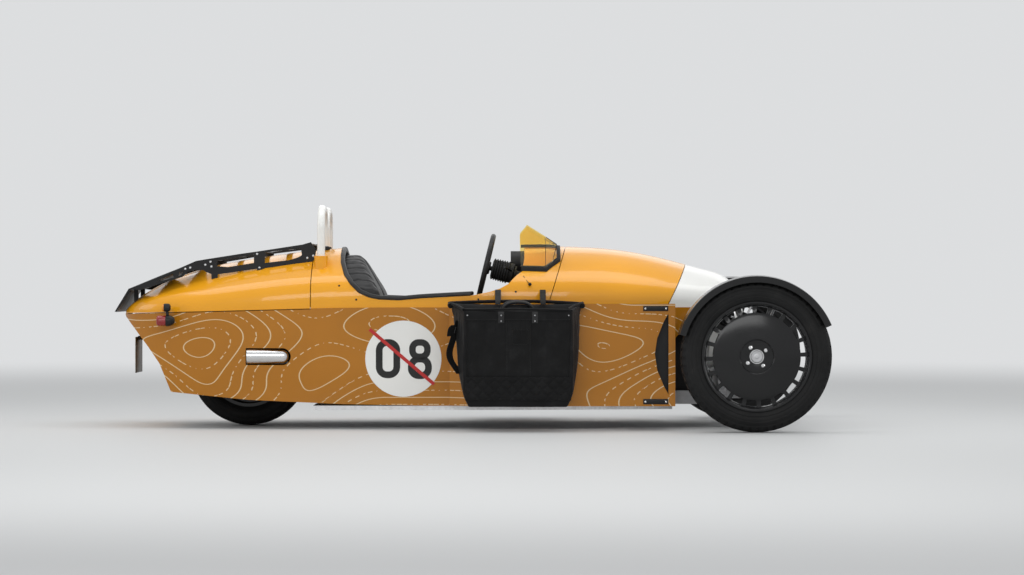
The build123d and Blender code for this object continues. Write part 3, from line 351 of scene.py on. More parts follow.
def make_materials(colours):
    """Every finish of the car, by name, in the colours of the settings."""
    MATERIALS.update(
        orange_paint=paint("body_paint", colours.body),
        flank_paint=contour_paint("flank_paint", colours.flank, colours.line),
        white_paint=paint("white_paint", colours.white, 0.3),
        stripe_red=paint("stripe_red", colours.stripe, 0.3),
        digit_black=black_coat("digit_black", (0.02, 0.02, 0.02), 0.35, 300, 0.03),
        black_gloss=gloss_black("black_gloss"),
        black_metal=black_coat("black_powder_coat", (0.0085, 0.0085, 0.009), 0.38),
        dark_panel=black_coat("dark_panel", (0.022, 0.022, 0.023), 0.5),
        aluminium=metal("floor_aluminium", (0.72, 0.72, 0.73), 0.32, 40, (1, 12, 1)),
        cast_aluminium=cast_metal("cast_aluminium", (0.55, 0.55, 0.56)),
        steel=metal("brushed_steel", (0.70, 0.70, 0.70), 0.24, 50, (1, 10, 10)),
        chrome=metal("polished_steel", (0.80, 0.80, 0.80), 0.08, 20, None, 0.02),
        tyre=tyre_rubber("tyre_rubber"),
        rubber=black_coat("moulded_rubber", (0.012, 0.012, 0.012), 0.62, 500, 0.2),
        black_leather=leather("black_leather", (0.014, 0.014, 0.0145)),
        black_plastic=black_coat("moulded_plastic", (0.010, 0.010, 0.010), 0.45, 900, 0.2),
        clear_glass=clear("lamp_glass", (0.96, 0.97, 0.97)),
        amber_screen=clear("amber_screen", (1.0, 0.86, 0.44)),
        waxed_canvas=canvas("waxed_canvas", (0.0080, 0.0080, 0.0083)),
        thread=black_coat("sewing_thread", (0.03, 0.03, 0.03), 0.7, 900, 0.3),
        webbing=canvas("black_webbing", (0.005, 0.005, 0.0052)),
        red_lens=lamp_lens("red_lens", (0.30, 0.005, 0.005)),
        amber_lens=lamp_lens("amber_lens", (0.85, 0.30, 0.02)),
        mirror=metal("lamp_mirror", (0.90, 0.90, 0.90), 0.05, 10, None, 0.01),
        plate_white=paint("plate_white", (0.78, 0.78, 0.74), 0.4, 0.2),
    )


def dress(obj, material):
    """Give a piece one material."""
    obj.data.materials.clear()
    obj.data.materials.append(MATERIALS[material])


FINISH_OVERRIDES = {
    "flank_left": "flank_paint", "flank_right": "flank_paint", "tail_panel": "orange_paint",
    "sideblade_left": "flank_paint", "sideblade_right": "flank_paint", "engine": "black_plastic",
}


class CAR_OT_finish_solids(bpy.types.Operator):
    """Give every solid of the frame its finish"""
    bl_idname = "car.finish_solids"
    bl_label = "Finish solids"

    def execute(self, context):
        make_materials(context.scene.car_paint)
        for part in frame["record"]["subparts"]:
            name = part["node"]
            dress(frame["nodes"][name], FINISH_OVERRIDES.get(name, part["material_slot"]))
        return {"FINISHED"}


# ---------------------------------------------------------------- modelling helpers
def close_edit():
    """Back to object mode."""
    bpy.ops.object.mode_set(mode="OBJECT")


def select_all():
    """Select everything in edit mode."""
    bpy.ops.mesh.select_all(action="SELECT")


def fresh():
    """Object mode with nothing selected."""
    if bpy.context.mode != "OBJECT":
        close_edit()
    bpy.ops.object.select_all(action="DESELECT")


def only(obj):
    """Select and activate one object."""
    fresh()
    obj.select_set(True)
    bpy.context.view_layer.objects.active = obj
    return obj


def edit(obj, kind="FACE"):
    """Open a mesh for editing its faces or edges, with nothing selected."""
    only(obj)
    bpy.ops.object.mode_set(mode="EDIT")
    bpy.ops.mesh.select_mode(type=kind)
    bpy.ops.mesh.select_all(action="DESELECT")


def select_faces(obj, test):
    """In edit mode, select the faces whose (centre, normal) pass the test."""
    close_edit()
    for face in obj.data.polygons:
        face.select = bool(test(face.center, face.normal))
    bpy.ops.object.mode_set(mode="EDIT")


def turn_outwards(obj):
    """Turn all faces of a mesh outwards."""
    edit(obj)
    select_all()
    bpy.ops.mesh.normals_make_consistent(inside=False)
    close_edit()


def apply_modifier(obj, kind, **settings):
    """Add a modifier with these settings and apply it."""
    only(obj)
    made = obj.modifiers.new(kind.lower(), kind)
    for key, value in settings.items():
        setattr(made, key, value)
    bpy.ops.object.modifier_apply(modifier=made.name)
    return obj


def settle(obj, name, material, body, slot=None, angle=35):
    """Place in the mesh, smooth by angle, name, finish and hang the piece on its body."""
    only(obj)
    bpy.ops.object.transform_apply(location=True, rotation=True, scale=True)
    bpy.ops.object.shade_smooth_by_angle(angle=math.radians(angle))
    obj.name = name
    obj.data.name = name
    dress(obj, material)
    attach(obj, body)
    return obj


def joined(pieces):
    """Join several meshes into the first."""
    fresh()
    for piece in pieces:
        piece.select_set(True)
    bpy.context.view_layer.objects.active = pieces[0]
    bpy.ops.object.join()
    return pieces[0]


def copied(obj, matrix):
    """A copy with its own mesh, moved by the matrix."""
    twin = obj.copy()
    twin.data = obj.data.copy()
    bpy.context.collection.objects.link(twin)
    twin.data.transform(matrix)
    if matrix.determinant() < 0:
        twin.data.flip_normals()
    return twin


def both_sides(pieces):
    """The pieces and their mirrored copies."""
    return pieces + [copied(one, MIRROR) for one in pieces]


def settle_both(obj, name, material, body, slot, angle=35):
    """Settle a right-hand piece and its mirrored copy; SIDE in the names stands for each one's side."""
    twin = copied(obj, MIRROR)
    return [settle(one, name.replace("SIDE", side), material, body.replace("SIDE", side), slot, angle)
            for one, side in ((obj, "right"), (twin, "left"))]


def press(obj, target, lift=0.0):
    """Press a thin piece along Y onto a target, a lift away from it."""
    return apply_modifier(obj, "SHRINKWRAP", target=target, wrap_method="PROJECT", use_project_y=True,
                          use_negative_direction=True, use_positive_direction=True, offset=lift)


def polyline(points, closed=False, fill=True):
    """Mesh of a chain of edges, extruded point by point; a closed one is filled with a face unless told not to."""
    fresh()
    bpy.ops.mesh.primitive_plane_add(size=0.002, location=points[0])
    obj = bpy.context.object
    bpy.ops.object.transform_apply(location=True, rotation=True, scale=True)
    bpy.ops.object.mode_set(mode="EDIT")
    bpy.ops.mesh.select_mode(type="VERT")
    select_all()
    bpy.ops.mesh.merge(type="CENTER")
    select_all()
    for here, there in zip(points, points[1:]):
        step = Vector(there) - Vector(here)
        bpy.ops.mesh.extrude_region_move(TRANSFORM_OT_translate={"value": step})
    select_all()
    if closed and not fill:
        bpy.ops.mesh.select_all(action="DESELECT")
        close_edit()
        for vertex in obj.data.vertices:
            vertex.select = len([e for e in obj.data.edges if vertex.index in e.vertices]) == 1
        bpy.ops.object.mode_set(mode="EDIT")
    if closed:
        bpy.ops.mesh.edge_face_add()
    return obj


def turned_to(where, direction):
    """Matrix that turns the Y axis to a direction and then moves to a place."""
    turn = Vector((0, 1, 0)).rotation_difference(Vector(direction)).to_matrix().to_4x4()
    return Matrix.Translation(where) @ turn


def lathe(profile, centre, steps=96, axis=(0, 1, 0)):
    """Spin a (radius, along) outline about an axis line through the centre. The outline's ends may lie on it."""
    obj = polyline([(r, a, 0) for r, a in profile])
    bpy.ops.mesh.spin(steps=steps, angle=2 * math.pi, center=(0, 0, 0), axis=(0, 1, 0))
    select_all()
    bpy.ops.mesh.remove_doubles(threshold=0.00002)
    bpy.ops.mesh.normals_make_consistent(inside=False)
    close_edit()
    obj.data.transform(turned_to(centre, axis))
    return obj


def bar(points, radius, closed=False, smooth=True, resolution=4):
    """Round bar along a curve through the points."""
    fresh()
    bpy.ops.curve.primitive_nurbs_path_add()
    obj = bpy.context.object
    spline = obj.data.splines[0]
    kind = "NURBS" if smooth else "POLY"
    obj.data.splines.remove(spline)
    spline = obj.data.splines.new(kind)
    spline.points.add(len(points) - 1)
    for point, where in zip(spline.points, points):
        point.co = (*where, 1)
    spline.use_cyclic_u = closed
    if smooth:
        spline.order_u = 3
        spline.use_endpoint_u = not closed
    obj.data.resolution_u = 6
    obj.data.bevel_depth = radius
    obj.data.bevel_resolution = resolution
    obj.data.use_fill_caps = not closed
    only(obj)
    bpy.ops.object.convert(target="MESH")
    return bpy.context.object


def block(low, high, bevel=0.002, segments=2):
    """Rounded block between two corners."""
    fresh()
    low, high = Vector(low), Vector(high)
    bpy.ops.mesh.primitive_cube_add(size=1, location=(low + high) / 2)
    obj = bpy.context.object
    obj.scale = [abs(v) for v in high - low]
    bpy.ops.object.transform_apply(location=True, rotation=True, scale=True)
    return apply_modifier(obj, "BEVEL", width=bevel, segments=segments, limit_method="ANGLE")


def screw(where, direction, radius=0.005, height=0.003):
    """Button-head screw with a hexagon socket, pointing outwards."""
    r, h = radius, height
    head = lathe([(0, -h * 0.5), (r, -h * 0.5), (r, h * 0.35), (r * 0.82, h * 0.82), (r * 0.52, h), (r * 0.5, h * 0.3),
                  (0, h * 0.3)], (0, 0, 0), 12)
    head.data.transform(turned_to(where, direction))
    return head


# ---------------------------------------------------------------- wheels and tyres
def tyre(name, body, centre, radius, width, rim, half_rim, steps, grooves, block_step=3):
    """Tyre with a rounded crown, ring grooves, cut shoulder blocks and raised bands on the sidewall."""
    w = width / 2
    side = [
        (rim - 0.010, half_rim - 0.0085), (rim + 0.001, half_rim - 0.0062), (rim + 0.006, half_rim - 0.001),
        (rim + 0.016, half_rim + 0.003), (rim + 0.022, w - 0.0025), (rim + 0.026, w - 0.0038),
        (rim + 0.030, w - 0.0015), (rim + 0.044, w - 0.0002), (rim + 0.048, w - 0.0014), (rim + 0.052, w - 0.0002),
        (radius - 0.036, w - 0.0035), (radius - 0.033, w - 0.0058), (radius - 0.024, w - 0.0070),
        (radius - 0.012, w - 0.0150),
    ]
    crown = []
    ribs = len(grooves) + 1
    edge = w - 0.024
    marks = [-edge] + [g * edge for g in grooves] + [edge]
    for k in range(ribs):
        a, b = marks[k], marks[k + 1]
        for y, inset in ((a + (0.004 if k else 0), 0), ((a + b) / 2, 0), (b - (0.004 if k < ribs - 1 else 0), 0)):
            crown.append((radius - 0.0045 * (y / edge) ** 2, y))
        if k < ribs - 1:
            crown.append((radius - 0.009, b - 0.002))
            crown.append((radius - 0.009, b + 0.002))
    profile = [(r, -y) for r, y in side] + crown + side[::-1]
    obj = lathe(profile, centre, steps)
    obj.name = name
    edit(obj)

    def notch(c, n):
        """Faces between the blocks of the outer ribs."""
        out = Vector((c.x - centre.x, 0, c.z - centre.z))
        turn = math.degrees(math.atan2(out.z, out.x)) % 360
        count = round(turn / (360 / steps) - 0.5)
        across = abs(c.y - centre.y)
        lean = 1 if c.y > centre.y else 0
        return (count + lean) % block_step == 0 and across > abs(marks[1]) + 0.003 and out.length > radius - 0.022

    select_faces(obj, notch)
    bpy.ops.mesh.extrude_region_shrink_fatten(TRANSFORM_OT_shrink_fatten={"value": -0.0045})
    close_edit()
    return settle(obj, name, "tyre", body, "tyre", 28)


def pierced_disc(side, steps=140, inner=0.2165, outer=0.2475):
    """Dished disc with a raised lip round its sunk middle and a ring of windows between two radii."""
    dish = [(0.0305, 0.0405), (0.079, 0.0405), (0.0815, 0.0425), (0.083, 0.0530), (0.0855, 0.0553),
            (0.092, 0.0553), (0.1, 0.0545), (0.13, 0.0525), (0.17, 0.0478), (0.2, 0.0416), (0.212, 0.0382),
            (inner, 0.0355), (outer, 0.0350), (0.252, 0.0420), (0.256, 0.0455)]
    skin = lathe([(r, side * y) for r, y in dish], (0, 0, 0), steps)
    edit(skin)

    def window(c, n):
        reach = math.hypot(c.x, c.z)
        count = round(math.degrees(math.atan2(c.z, c.x)) % 360 / (360 / steps) - 0.5)
        return inner < reach < outer and count % 7 > 1

    select_faces(skin, window)
    bpy.ops.mesh.delete(type="FACE")
    close_edit()
    if side < 0:
        turn_outwards(skin)
    outward = skin.data.polygons[0].normal.y * side > 0
    apply_modifier(skin, "SOLIDIFY", thickness=0.006, offset=-1 if outward else 1)
    return apply_modifier(skin, "BEVEL", width=0.0012, segments=2, limit_method="ANGLE", angle_limit=math.radians(50))


def wheel_nut(where, side):
    """Hexagon nut on its washer, facing outwards."""
    nut = lathe([(0, 0.0135), (0.0070, 0.0135), (0.0100, 0.0115), (0.0115, 0.0050), (0.0115, 0), (0, 0)],
                (0, 0, 0), 6)
    washer = lathe([(0, 0.003), (0.0140, 0.003), (0.0150, 0.002), (0.0150, 0), (0, 0)], (0, 0, 0), 20)
    pose = Matrix.Translation(where) @ Matrix.Rotation(0 if side > 0 else math.pi, 4, "X")
    for piece in (nut, washer):
        piece.data.transform(pose)
    return nut, washer


def disc_wheel(name, body, centre, side):
    """Gloss disc wheel with its rim, brake disc, cap and nuts."""
    def turned(profile, steps, at=centre):
        return lathe([(r, side * y) for r, y in profile], at, steps)

    skin = pierced_disc(side)
    barrel = turned((
        (0.2555, 0.0440), (0.258, 0.0520), (0.262, 0.0555), (0.2695, 0.0555), (0.2698, 0.0510), (0.2560, 0.0492),
        (0.2520, 0.0400), (0.2515, -0.0400), (0.2560, -0.0490), (0.2698, -0.0510), (0.2695, -0.0558),
        (0.258, -0.0558), (0.2505, -0.046), (0.2455, -0.036), (0.2455, 0.026), (0.2490, 0.0380), (0.2555, 0.0440)),
        96, (0, 0, 0))
    wheel = joined([skin, barrel])
    wheel.data.transform(Matrix.Translation(centre))
    wheel = settle(wheel, name, "black_gloss", body, "black_gloss", 30)
    disc = turned((
        (0.062, -0.0318), (0.1265, -0.0318), (0.1278, -0.033), (0.1278, -0.041), (0.1265, -0.0422), (0.062, -0.0422),
        (0.060, -0.047), (0.024, -0.047), (0.024, 0.018), (0.060, 0.018), (0.062, -0.0318)), 72)
    settle(disc, name + "_brake_disc", "steel", body, "steel", 30)
    cap = turned((
        (0, 0.0522), (0.0075, 0.0522), (0.0088, 0.0508), (0.0110, 0.0496), (0.0175, 0.0496), (0.0195, 0.0500),
        (0.0215, 0.0525), (0.0265, 0.0525), (0.0285, 0.0508), (0.0293, 0.0490), (0.0293, 0.0380), (0, 0.0380)), 40)
    settle(cap, name + "_cap", "cast_aluminium", body, "steel", 30)
    ring = turned((
        (0.0298, 0.0410), (0.0298, 0.0440), (0.0315, 0.0458), (0.0350, 0.0458), (0.0365, 0.0440), (0.0365, 0.0410),
        (0.0298, 0.0410)), 48)
    settle(ring, name + "_cap_ring", "steel", body, "steel", 30)
    nuts = []
    for k in range(NUT_COUNT):
        a = math.radians(NUT_ANGLE + 360 / NUT_COUNT * k)
        nuts += wheel_nut(centre + Vector((NUT_RING * math.cos(a), side * 0.036, NUT_RING * math.sin(a))), side)
    settle(joined(nuts), name + "_nuts", "chrome", body, "steel", 30)
    return wheel


class CAR_OT_fit_tyres(bpy.types.Operator):
    """Treaded tyres on all wheels"""
    bl_idname = "car.fit_tyres"
    bl_label = "Fit tyres"

    def execute(self, context):
        for side, name in SIDES:
            centre = FRONT + Vector((0, side * HALF_TRACK, 0))
            made = tyre(f"tyre_front_{name}", f"front_wheel_{name}", centre, **FRONT_TYRE)
            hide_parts(f"front_tyre_{name}")
        made = tyre("tyre_rear", "rear_wheel", REAR, **REAR_TYRE)
        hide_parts("rear_tyre")
        return {"FINISHED"}


class CAR_OT_fit_wheels(bpy.types.Operator):
    """Front disc wheels with their caps, nuts and brake discs"""
    bl_idname = "car.fit_wheels"
    bl_label = "Fit wheels"

    def execute(self, context):
        for side, name in SIDES:
            centre = FRONT + Vector((0, side * HALF_TRACK, 0))
            made = disc_wheel(f"wheel_front_{name}", f"front_wheel_{name}", centre, side)
            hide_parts(f"front_wheel_{name}")
        return {"FINISHED"}


# ---------------------------------------------------------------- soft goods
def cloned_solid(name):
    """Merged copy of a CAD node's mesh, to make a piece from."""
    obj = frame["nodes"][name].copy()
    obj.data = obj.data.copy()
    for key in list(obj.keys()):
        del obj[key]
    obj.parent = None
    bpy.context.collection.objects.link(obj)
    obj.hide_render = obj.hide_viewport = False
    edit(obj)
    select_all()
    bpy.ops.mesh.remove_doubles(threshold=0.00005)
    close_edit()
    return obj


def puff(obj, voxel, pressure, cap, frames=18, bending=1.2, pin=None, gravity=0.0, shrink=0.0):
    """Remesh a piece and swell it as cloth; no point moves further than cap, and pinned ones stay."""
    apply_modifier(obj, "REMESH", mode="VOXEL", voxel_size=voxel)
    rest = [v.co.copy() for v in obj.data.vertices]
    only(obj)
    if pin:
        group = obj.vertex_groups.new(name="pin")
        group.add([i for i, co in enumerate(rest) if pin(co)], 1.0, "REPLACE")
    cloth = obj.modifiers.new("cloth", "CLOTH")
    setup = cloth.settings
    setup.quality = 5
    setup.mass = 0.3
    setup.tension_stiffness = setup.compression_stiffness = 18
    setup.shear_stiffness = 8
    setup.bending_stiffness = bending
    setup.use_pressure = True
    setup.uniform_pressure_force = pressure
    setup.shrink_min = shrink
    setup.effector_weights.gravity = gravity
    if pin:
        setup.vertex_group_mass = "pin"
    cloth.collision_settings.use_collision = False
    cloth.point_cache.frame_start, cloth.point_cache.frame_end = 1, frames
    for step in range(1, frames + 1):
        bpy.context.scene.frame_set(step)
    only(obj)
    bpy.ops.object.modifier_apply(modifier=cloth.name)
    for vertex, was in zip(obj.data.vertices, rest):
        move = vertex.co - was
        if move.length > cap:
            vertex.co = was + move * (cap / move.length)
    bpy.context.scene.frame_set(1)
    return obj


def grooved(obj, lines, depth, width):
    """Press sewn channels into a puffed piece. Each line is a function of a point giving its distance from the seam."""
    normals = [v.normal.copy() for v in obj.data.vertices]
    for vertex, normal in zip(obj.data.vertices, normals):
        near = min(abs(line(vertex.co)) for line in lines)
        if near < width:
            vertex.co -= normal * depth * (0.5 + 0.5 * math.cos(math.pi * near / width))
    return obj


def strap(points, across, width, thick, levels=2):
    """Flat webbing along the points, its width along one direction."""
    across = Vector(across).normalized()
    obj = polyline([Vector(p) - across * width / 2 for p in points])
    select_all()
    bpy.ops.mesh.extrude_region_move(TRANSFORM_OT_translate={"value": across * width})
    select_all()
    bpy.ops.mesh.normals_make_consistent(inside=False)
    close_edit()
    apply_modifier(obj, "SUBSURF", levels=levels, render_levels=levels, boundary_smooth="PRESERVE_CORNERS")
    return apply_modifier(obj, "SOLIDIFY", thickness=thick, offset=0)


def buckle(where, normal, along, width, wire=0.003):
    """Rectangular wire buckle round a strap."""
    normal, along = Vector(normal).normalized(), Vector(along).normalized()
    across = normal.cross(along)
    w, h = width / 2 + wire, width * 0.36
    corners = [across * w + along * h, -across * w + along * h, -across * w - along * h, across * w - along * h]
    ring = bar([Vector(where) + c for c in corners], wire, closed=True, smooth=False, resolution=2)
    tongue = bar([Vector(where) - across * w, Vector(where) + normal * 0.003, Vector(where) + across * w], wire * 0.7,
                 smooth=False, resolution=2)
    return joined([ring, tongue])


# How far the seats' seams lie from the middle of the car.
SEAT_SEAMS = (0.13, 0.187, 0.244, 0.301, 0.358, 0.415)


class CAR_OT_upholster(bpy.types.Operator):
    """Seat backs, cushions and the padded roll round the cockpit"""
    bl_idname = "car.upholster"
    bl_label = "Upholster"

    def execute(self, context):
        for name, solid in (("seat_back_pads", "seat_backs"), ("seat_cushion_pads", "seat_cushions")):
            pad = cloned_solid(solid)
            apply_modifier(pad, "BEVEL", width=0.012, segments=2, limit_method="ANGLE",
                           angle_limit=math.radians(35))
            puff(pad, voxel=0.0105, pressure=3.0, cap=0.014)
            apply_modifier(pad, "SUBSURF", levels=1, render_levels=1)
            seams = [lambda p, y=y: abs(p.y) - y for y in SEAT_SEAMS]
            if solid == "seat_cushions":
                seams += [lambda p: (p.x - 0.02) if 0.12 < abs(p.y) < 0.425 else 1]
            inner = [lambda p, s=s: s(p) if facing_rider(p) else 1 for s in seams]
            grooved(pad, inner, depth=0.007, width=0.011)
            settle(pad, name, "black_leather", "car", "black_leather", 60)
            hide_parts(solid)
        roll = cloned_solid("cockpit_trim")
        apply_modifier(roll, "REMESH", mode="VOXEL", voxel_size=0.004)
        apply_modifier(roll, "SMOOTH", factor=0.6, iterations=10)
        settle(roll, "cockpit_roll", "black_leather", "car", "black_leather", 60)
        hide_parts("cockpit_trim")
        return {"FINISHED"}


def facing_rider(p):
    """True on the side of the seats that is sat on or leant on."""
    back = p.x + 0.650 - 0.220 * (0.872 - p.z) / 0.754
    return 0.095 < abs(p.y) < 0.46 and (back > 0.055 or p.z > 0.33)


# Corners of the bags, from the foot up: (x at the rear, x at the front, height), at the blade and on the outer side.
BAG_INNER = ((-0.020, 0.538, 0.135), (-0.030, 0.545, 0.40), (-0.078, 0.575, 0.600), (-0.083, 0.580, 0.636))
BAG_OUTER = ((-0.016, 0.532, 0.128), (-0.022, 0.540, 0.34), (-0.010, 0.528, 0.560), (-0.006, 0.524, 0.602))
# Y of the bags' backs and of their outer sides.
BAG_IN, BAG_OUT = -0.648, -0.826
BAG_FOOT_Z = 0.1225


def bag_point(u, d, h):
    """Point of the bag's envelope: u along the car, d outwards and h up, each from 0 to 1."""
    def row(table):
        t = min(h, 0.9999) * (len(table) - 1)
        k = int(t)
        return [a + (b - a) * (t - k) for a, b in zip(table[k], table[k + 1])]

    a, b = row(BAG_INNER), row(BAG_OUTER)
    rear, front, z = (p + (q - p) * d for p, q in zip(a, b))
    belly = math.sin(math.pi * min(h * 0.9, 1)) * 0.012 * d
    foot = max(0.0, 1 - h / 0.13)
    draw = 0.030 * (1 - math.sqrt(max(0.0, 1 - foot * foot)))
    waist = 0.010 * math.exp(-((h - 0.62) / 0.16) ** 2) * (0.5 + 0.5 * d)
    rear, front = rear + draw + waist, front - draw - waist * 0.8
    x = rear + (front - rear) * u
    sag = -0.010 * math.sin(math.pi * u) * (1 - h / 0.2) if h < 0.2 else 0
    dip = -0.014 * math.sin(math.pi * u) ** 0.8 * (h - 0.8) / 0.2 if h > 0.8 else 0
    slump = (0.0045 * math.sin(9.0 * x + 5.5 * z + 0.6) + 0.0035 * math.sin(21.0 * x - 13.0 * z)
             + 0.0025 * math.sin(17.0 * z + 31.0 * x + 1.7)) * d * min(1.0, 6 * u, 6 * (1 - u))
    return Vector((x, BAG_IN + (BAG_OUT - BAG_IN) * d - belly + slump + 0.004 * foot * d, z + sag + dip * 0.6))


def bag_face_y(bag, x, z):
    """Y of the bag's outer face at a place seen from the side."""
    hit, where, normal, index = bag.ray_cast(Vector((x, -1.2, z)), Vector((0, 1, 0)))
    return where.y if hit else BAG_OUT


def bag_panel(bag, x0, x1, z0, z1, thick, lift=0.0005, cuts=24, quilt=None):
    """Sewn panel laid over the bag's outer face."""
    fresh()
    bpy.ops.mesh.primitive_grid_add(x_subdivisions=cuts, y_subdivisions=cuts, size=1, location=(0, 0, 0))
    obj = bpy.context.object
    for vertex in obj.data.vertices:
        u, v = vertex.co.x + 0.5, vertex.co.y + 0.5
        vertex.co = (x0 + (x1 - x0) * u, -0.86, z0 + (z1 - z0) * v)
    press(obj, bag, lift)
    if quilt:
        for vertex in obj.data.vertices:
            a = (vertex.co.x + vertex.co.z) / quilt
            b = (vertex.co.x - vertex.co.z) / quilt
            seam = min(abs(a - round(a)), abs(b - round(b)))
            vertex.co.y -= 0.005 * min(1, seam * 5)
    turn_outwards(obj)
    sign = 1 if obj.data.polygons[0].normal.y < 0 else -1
    return apply_modifier(obj, "SOLIDIFY", thickness=thick, offset=sign)


def stitches(bag, points, gap=0.007, lift=0.0006):
    """Row of short raised threads over the bag's face between points (x, z)."""
    fresh()
    bpy.ops.mesh.primitive_cube_add(size=1)
    base = bpy.context.object
    base.scale = (0.0042, 0.0011, 0.0013)
    bpy.ops.object.transform_apply(location=True, rotation=True, scale=True)
    made = []
    for (x0, z0), (x1, z1) in zip(points, points[1:]):
        run = math.hypot(x1 - x0, z1 - z0)
        turn = Matrix.Rotation(-math.atan2(z1 - z0, x1 - x0), 4, "Y")
        for k in range(int(run / gap)):
            t = (k + 0.5) * gap / run
            x, z = x0 + (x1 - x0) * t, z0 + (z1 - z0) * t
            made.append(copied(base, Matrix.Translation((x, bag_face_y(bag, x, z) - lift, z)) @ turn))
    bpy.data.objects.remove(base)
    return joined(made)


def carry_handle(bag, x0, x1, z, rise, lean):
    """Rolled handle with its two sewn ends."""
    y = bag_face_y(bag, (x0 + x1) / 2, z) - 0.004
    mid = (x0 + x1) / 2
    points = [(x0, y, z - 0.05), (x0, y - 0.001, z - 0.01), (x0 + 0.018, y + lean * 0.4, z + rise * 0.62),
              (mid - 0.03, y + lean, z + rise), (mid + 0.03, y + lean, z + rise),
              (x1 - 0.018, y + lean * 0.4, z + rise * 0.62), (x1, y - 0.001, z - 0.01), (x1, y, z - 0.05)]
    return bar(points, 0.0075)


def bag_body():
    """Open-topped canvas shell, slackened as cloth and held at its back and rim."""
    fresh()
    bpy.ops.mesh.primitive_cube_add(size=1, location=(0.5, 0.5, 0.5))
    bag = bpy.context.object
    bpy.ops.object.transform_apply(location=True, rotation=True, scale=True)
    edit(bag)
    select_faces(bag, lambda c, n: n.z > 0.5)
    bpy.ops.mesh.inset(thickness=0.09, depth=0)
    bpy.ops.transform.resize(value=(1.12, 0.9, 1), center_override=(0.5, 0.5, 1))
    bpy.ops.mesh.extrude_region_move(TRANSFORM_OT_translate={"value": (0, 0, -0.32)})
    bpy.ops.transform.resize(value=(0.92, 0.7, 1), center_override=(0.5, 0.5, 1))
    select_all()
    bpy.ops.mesh.subdivide(number_cuts=7)
    close_edit()
    for vertex in bag.data.vertices:
        vertex.co = bag_point(vertex.co.x, vertex.co.y, vertex.co.z)
    turn_outwards(bag)
    puff(bag, voxel=0.0085, pressure=1.6, cap=0.016, frames=22, bending=0.35, gravity=0.6, shrink=-0.035,
         pin=lambda p: p.y > -0.662 or p.z > 0.585)
    for vertex in bag.data.vertices:
        vertex.co.y = min(vertex.co.y, BLADE_FACE_Y)
        vertex.co.z = max(vertex.co.z, BAG_FOOT_Z)
    apply_modifier(bag, "SMOOTH", factor=0.35, iterations=2)
    return apply_modifier(bag, "SUBSURF", levels=1, render_levels=1)


def bag_panels(bag):
    """Band, quilted base, patch and pocket of a bag, with their stitching."""
    band = bag_panel(bag, -0.004, 0.523, 0.548, 0.600, 0.0035, cuts=40)
    quilt = bag_panel(bag, 0.001, 0.517, 0.156, 0.270, 0.004, cuts=70, quilt=0.058)
    patch = bag_panel(bag, 0.229, 0.3125, 0.428, 0.507, 0.003)
    pocket = bag_panel(bag, 0.200, 0.322, 0.272, 0.546, 0.0022, cuts=30)
    runs = [[(0.003, 0.594), (0.516, 0.594)], [(0.003, 0.553), (0.516, 0.553)], [(0.004, 0.264), (0.514, 0.264)],
            [(0.204, 0.276), (0.204, 0.54)], [(0.318, 0.276), (0.318, 0.54)],
            [(0.233, 0.432), (0.3085, 0.432), (0.3085, 0.503), (0.233, 0.503), (0.233, 0.432)]]
    seams = joined([stitches(bag, run, lift=0.0042) for run in runs])
    return [(band, "top_band", "waxed_canvas"), (quilt, "quilted_base", "waxed_canvas"), (patch, "patch", "webbing"),
            (pocket, "pocket", "waxed_canvas"), (seams, "stitching", "thread")]


def bag_handles(bag):
    """Two carrying handles, the tabs that hold the front one and the rivets."""
    handle = carry_handle(bag, 0.176, 0.342, 0.598, 0.040, -0.004)
    behind = carry_handle(bag, 0.170, 0.336, 0.606, 0.036, 0.020)
    for vertex in behind.data.vertices:
        vertex.co.y = max(vertex.co.y, -0.80)
    tabs = [bag_panel(bag, x - 0.014, x + 0.014, 0.536, 0.592, 0.003, 0.004, cuts=8) for x in (0.176, 0.342)]
    rivets = [screw((x, bag_face_y(bag, x, z) - 0.0068, z), (0, -1, 0), 0.0040, 0.0026)
              for x in (0.176, 0.342) for z in (0.546, 0.574)]
    rivets += [screw((x, bag_face_y(bag, x, 0.574) - 0.0040, 0.574), (0, -1, 0), 0.0034, 0.0022)
               for x in (0.010, 0.508)]
    return [(joined([handle, behind, *tabs]), "handles", "black_leather"), (joined(rivets), "rivets", "cast_aluminium")]


def bag_piping(bag):
    """Rolled webbing round the mouth and down the corners of a bag."""
    rolls = [bar([(-0.080, -0.652, 0.634), (0.08, -0.650, 0.641), (0.25, -0.649, 0.643), (0.42, -0.650, 0.641),
                  (0.578, -0.654, 0.630)], 0.0085)]
    for x, sign in ((-0.083, 1), (0.580, -1)):
        rolls.append(bar([(x, -0.652, 0.634), (x + sign * 0.02, -0.70, 0.628), (x + sign * 0.052, -0.76, 0.616),
                          (x + sign * 0.074, -0.826, 0.602)], 0.0075))
    rolls.append(bar([(-0.004, -0.829, 0.602), (0.12, -0.836, 0.604), (0.26, -0.839, 0.604), (0.40, -0.836, 0.602),
                      (0.524, -0.829, 0.598)], 0.006))
    for x in (-0.078, 0.576):
        rolls.append(bar([(x, -0.655, 0.626), (x - 0.002, -0.672, 0.624), (x + 0.002, -0.690, 0.620)], 0.0135))
    for top, foot in ((0.0, 0.016), (0.519, 0.500)):
        corner = [(top + (foot - top) * k / 10, 0.588 - 0.0435 * k) for k in range(10)]
        rolls.append(bar([(x, bag_face_y(bag, x, z) - 0.001, z) for x, z in corner], 0.0034, resolution=2))
    return [(joined(rolls), "rim_rolls", "webbing")]


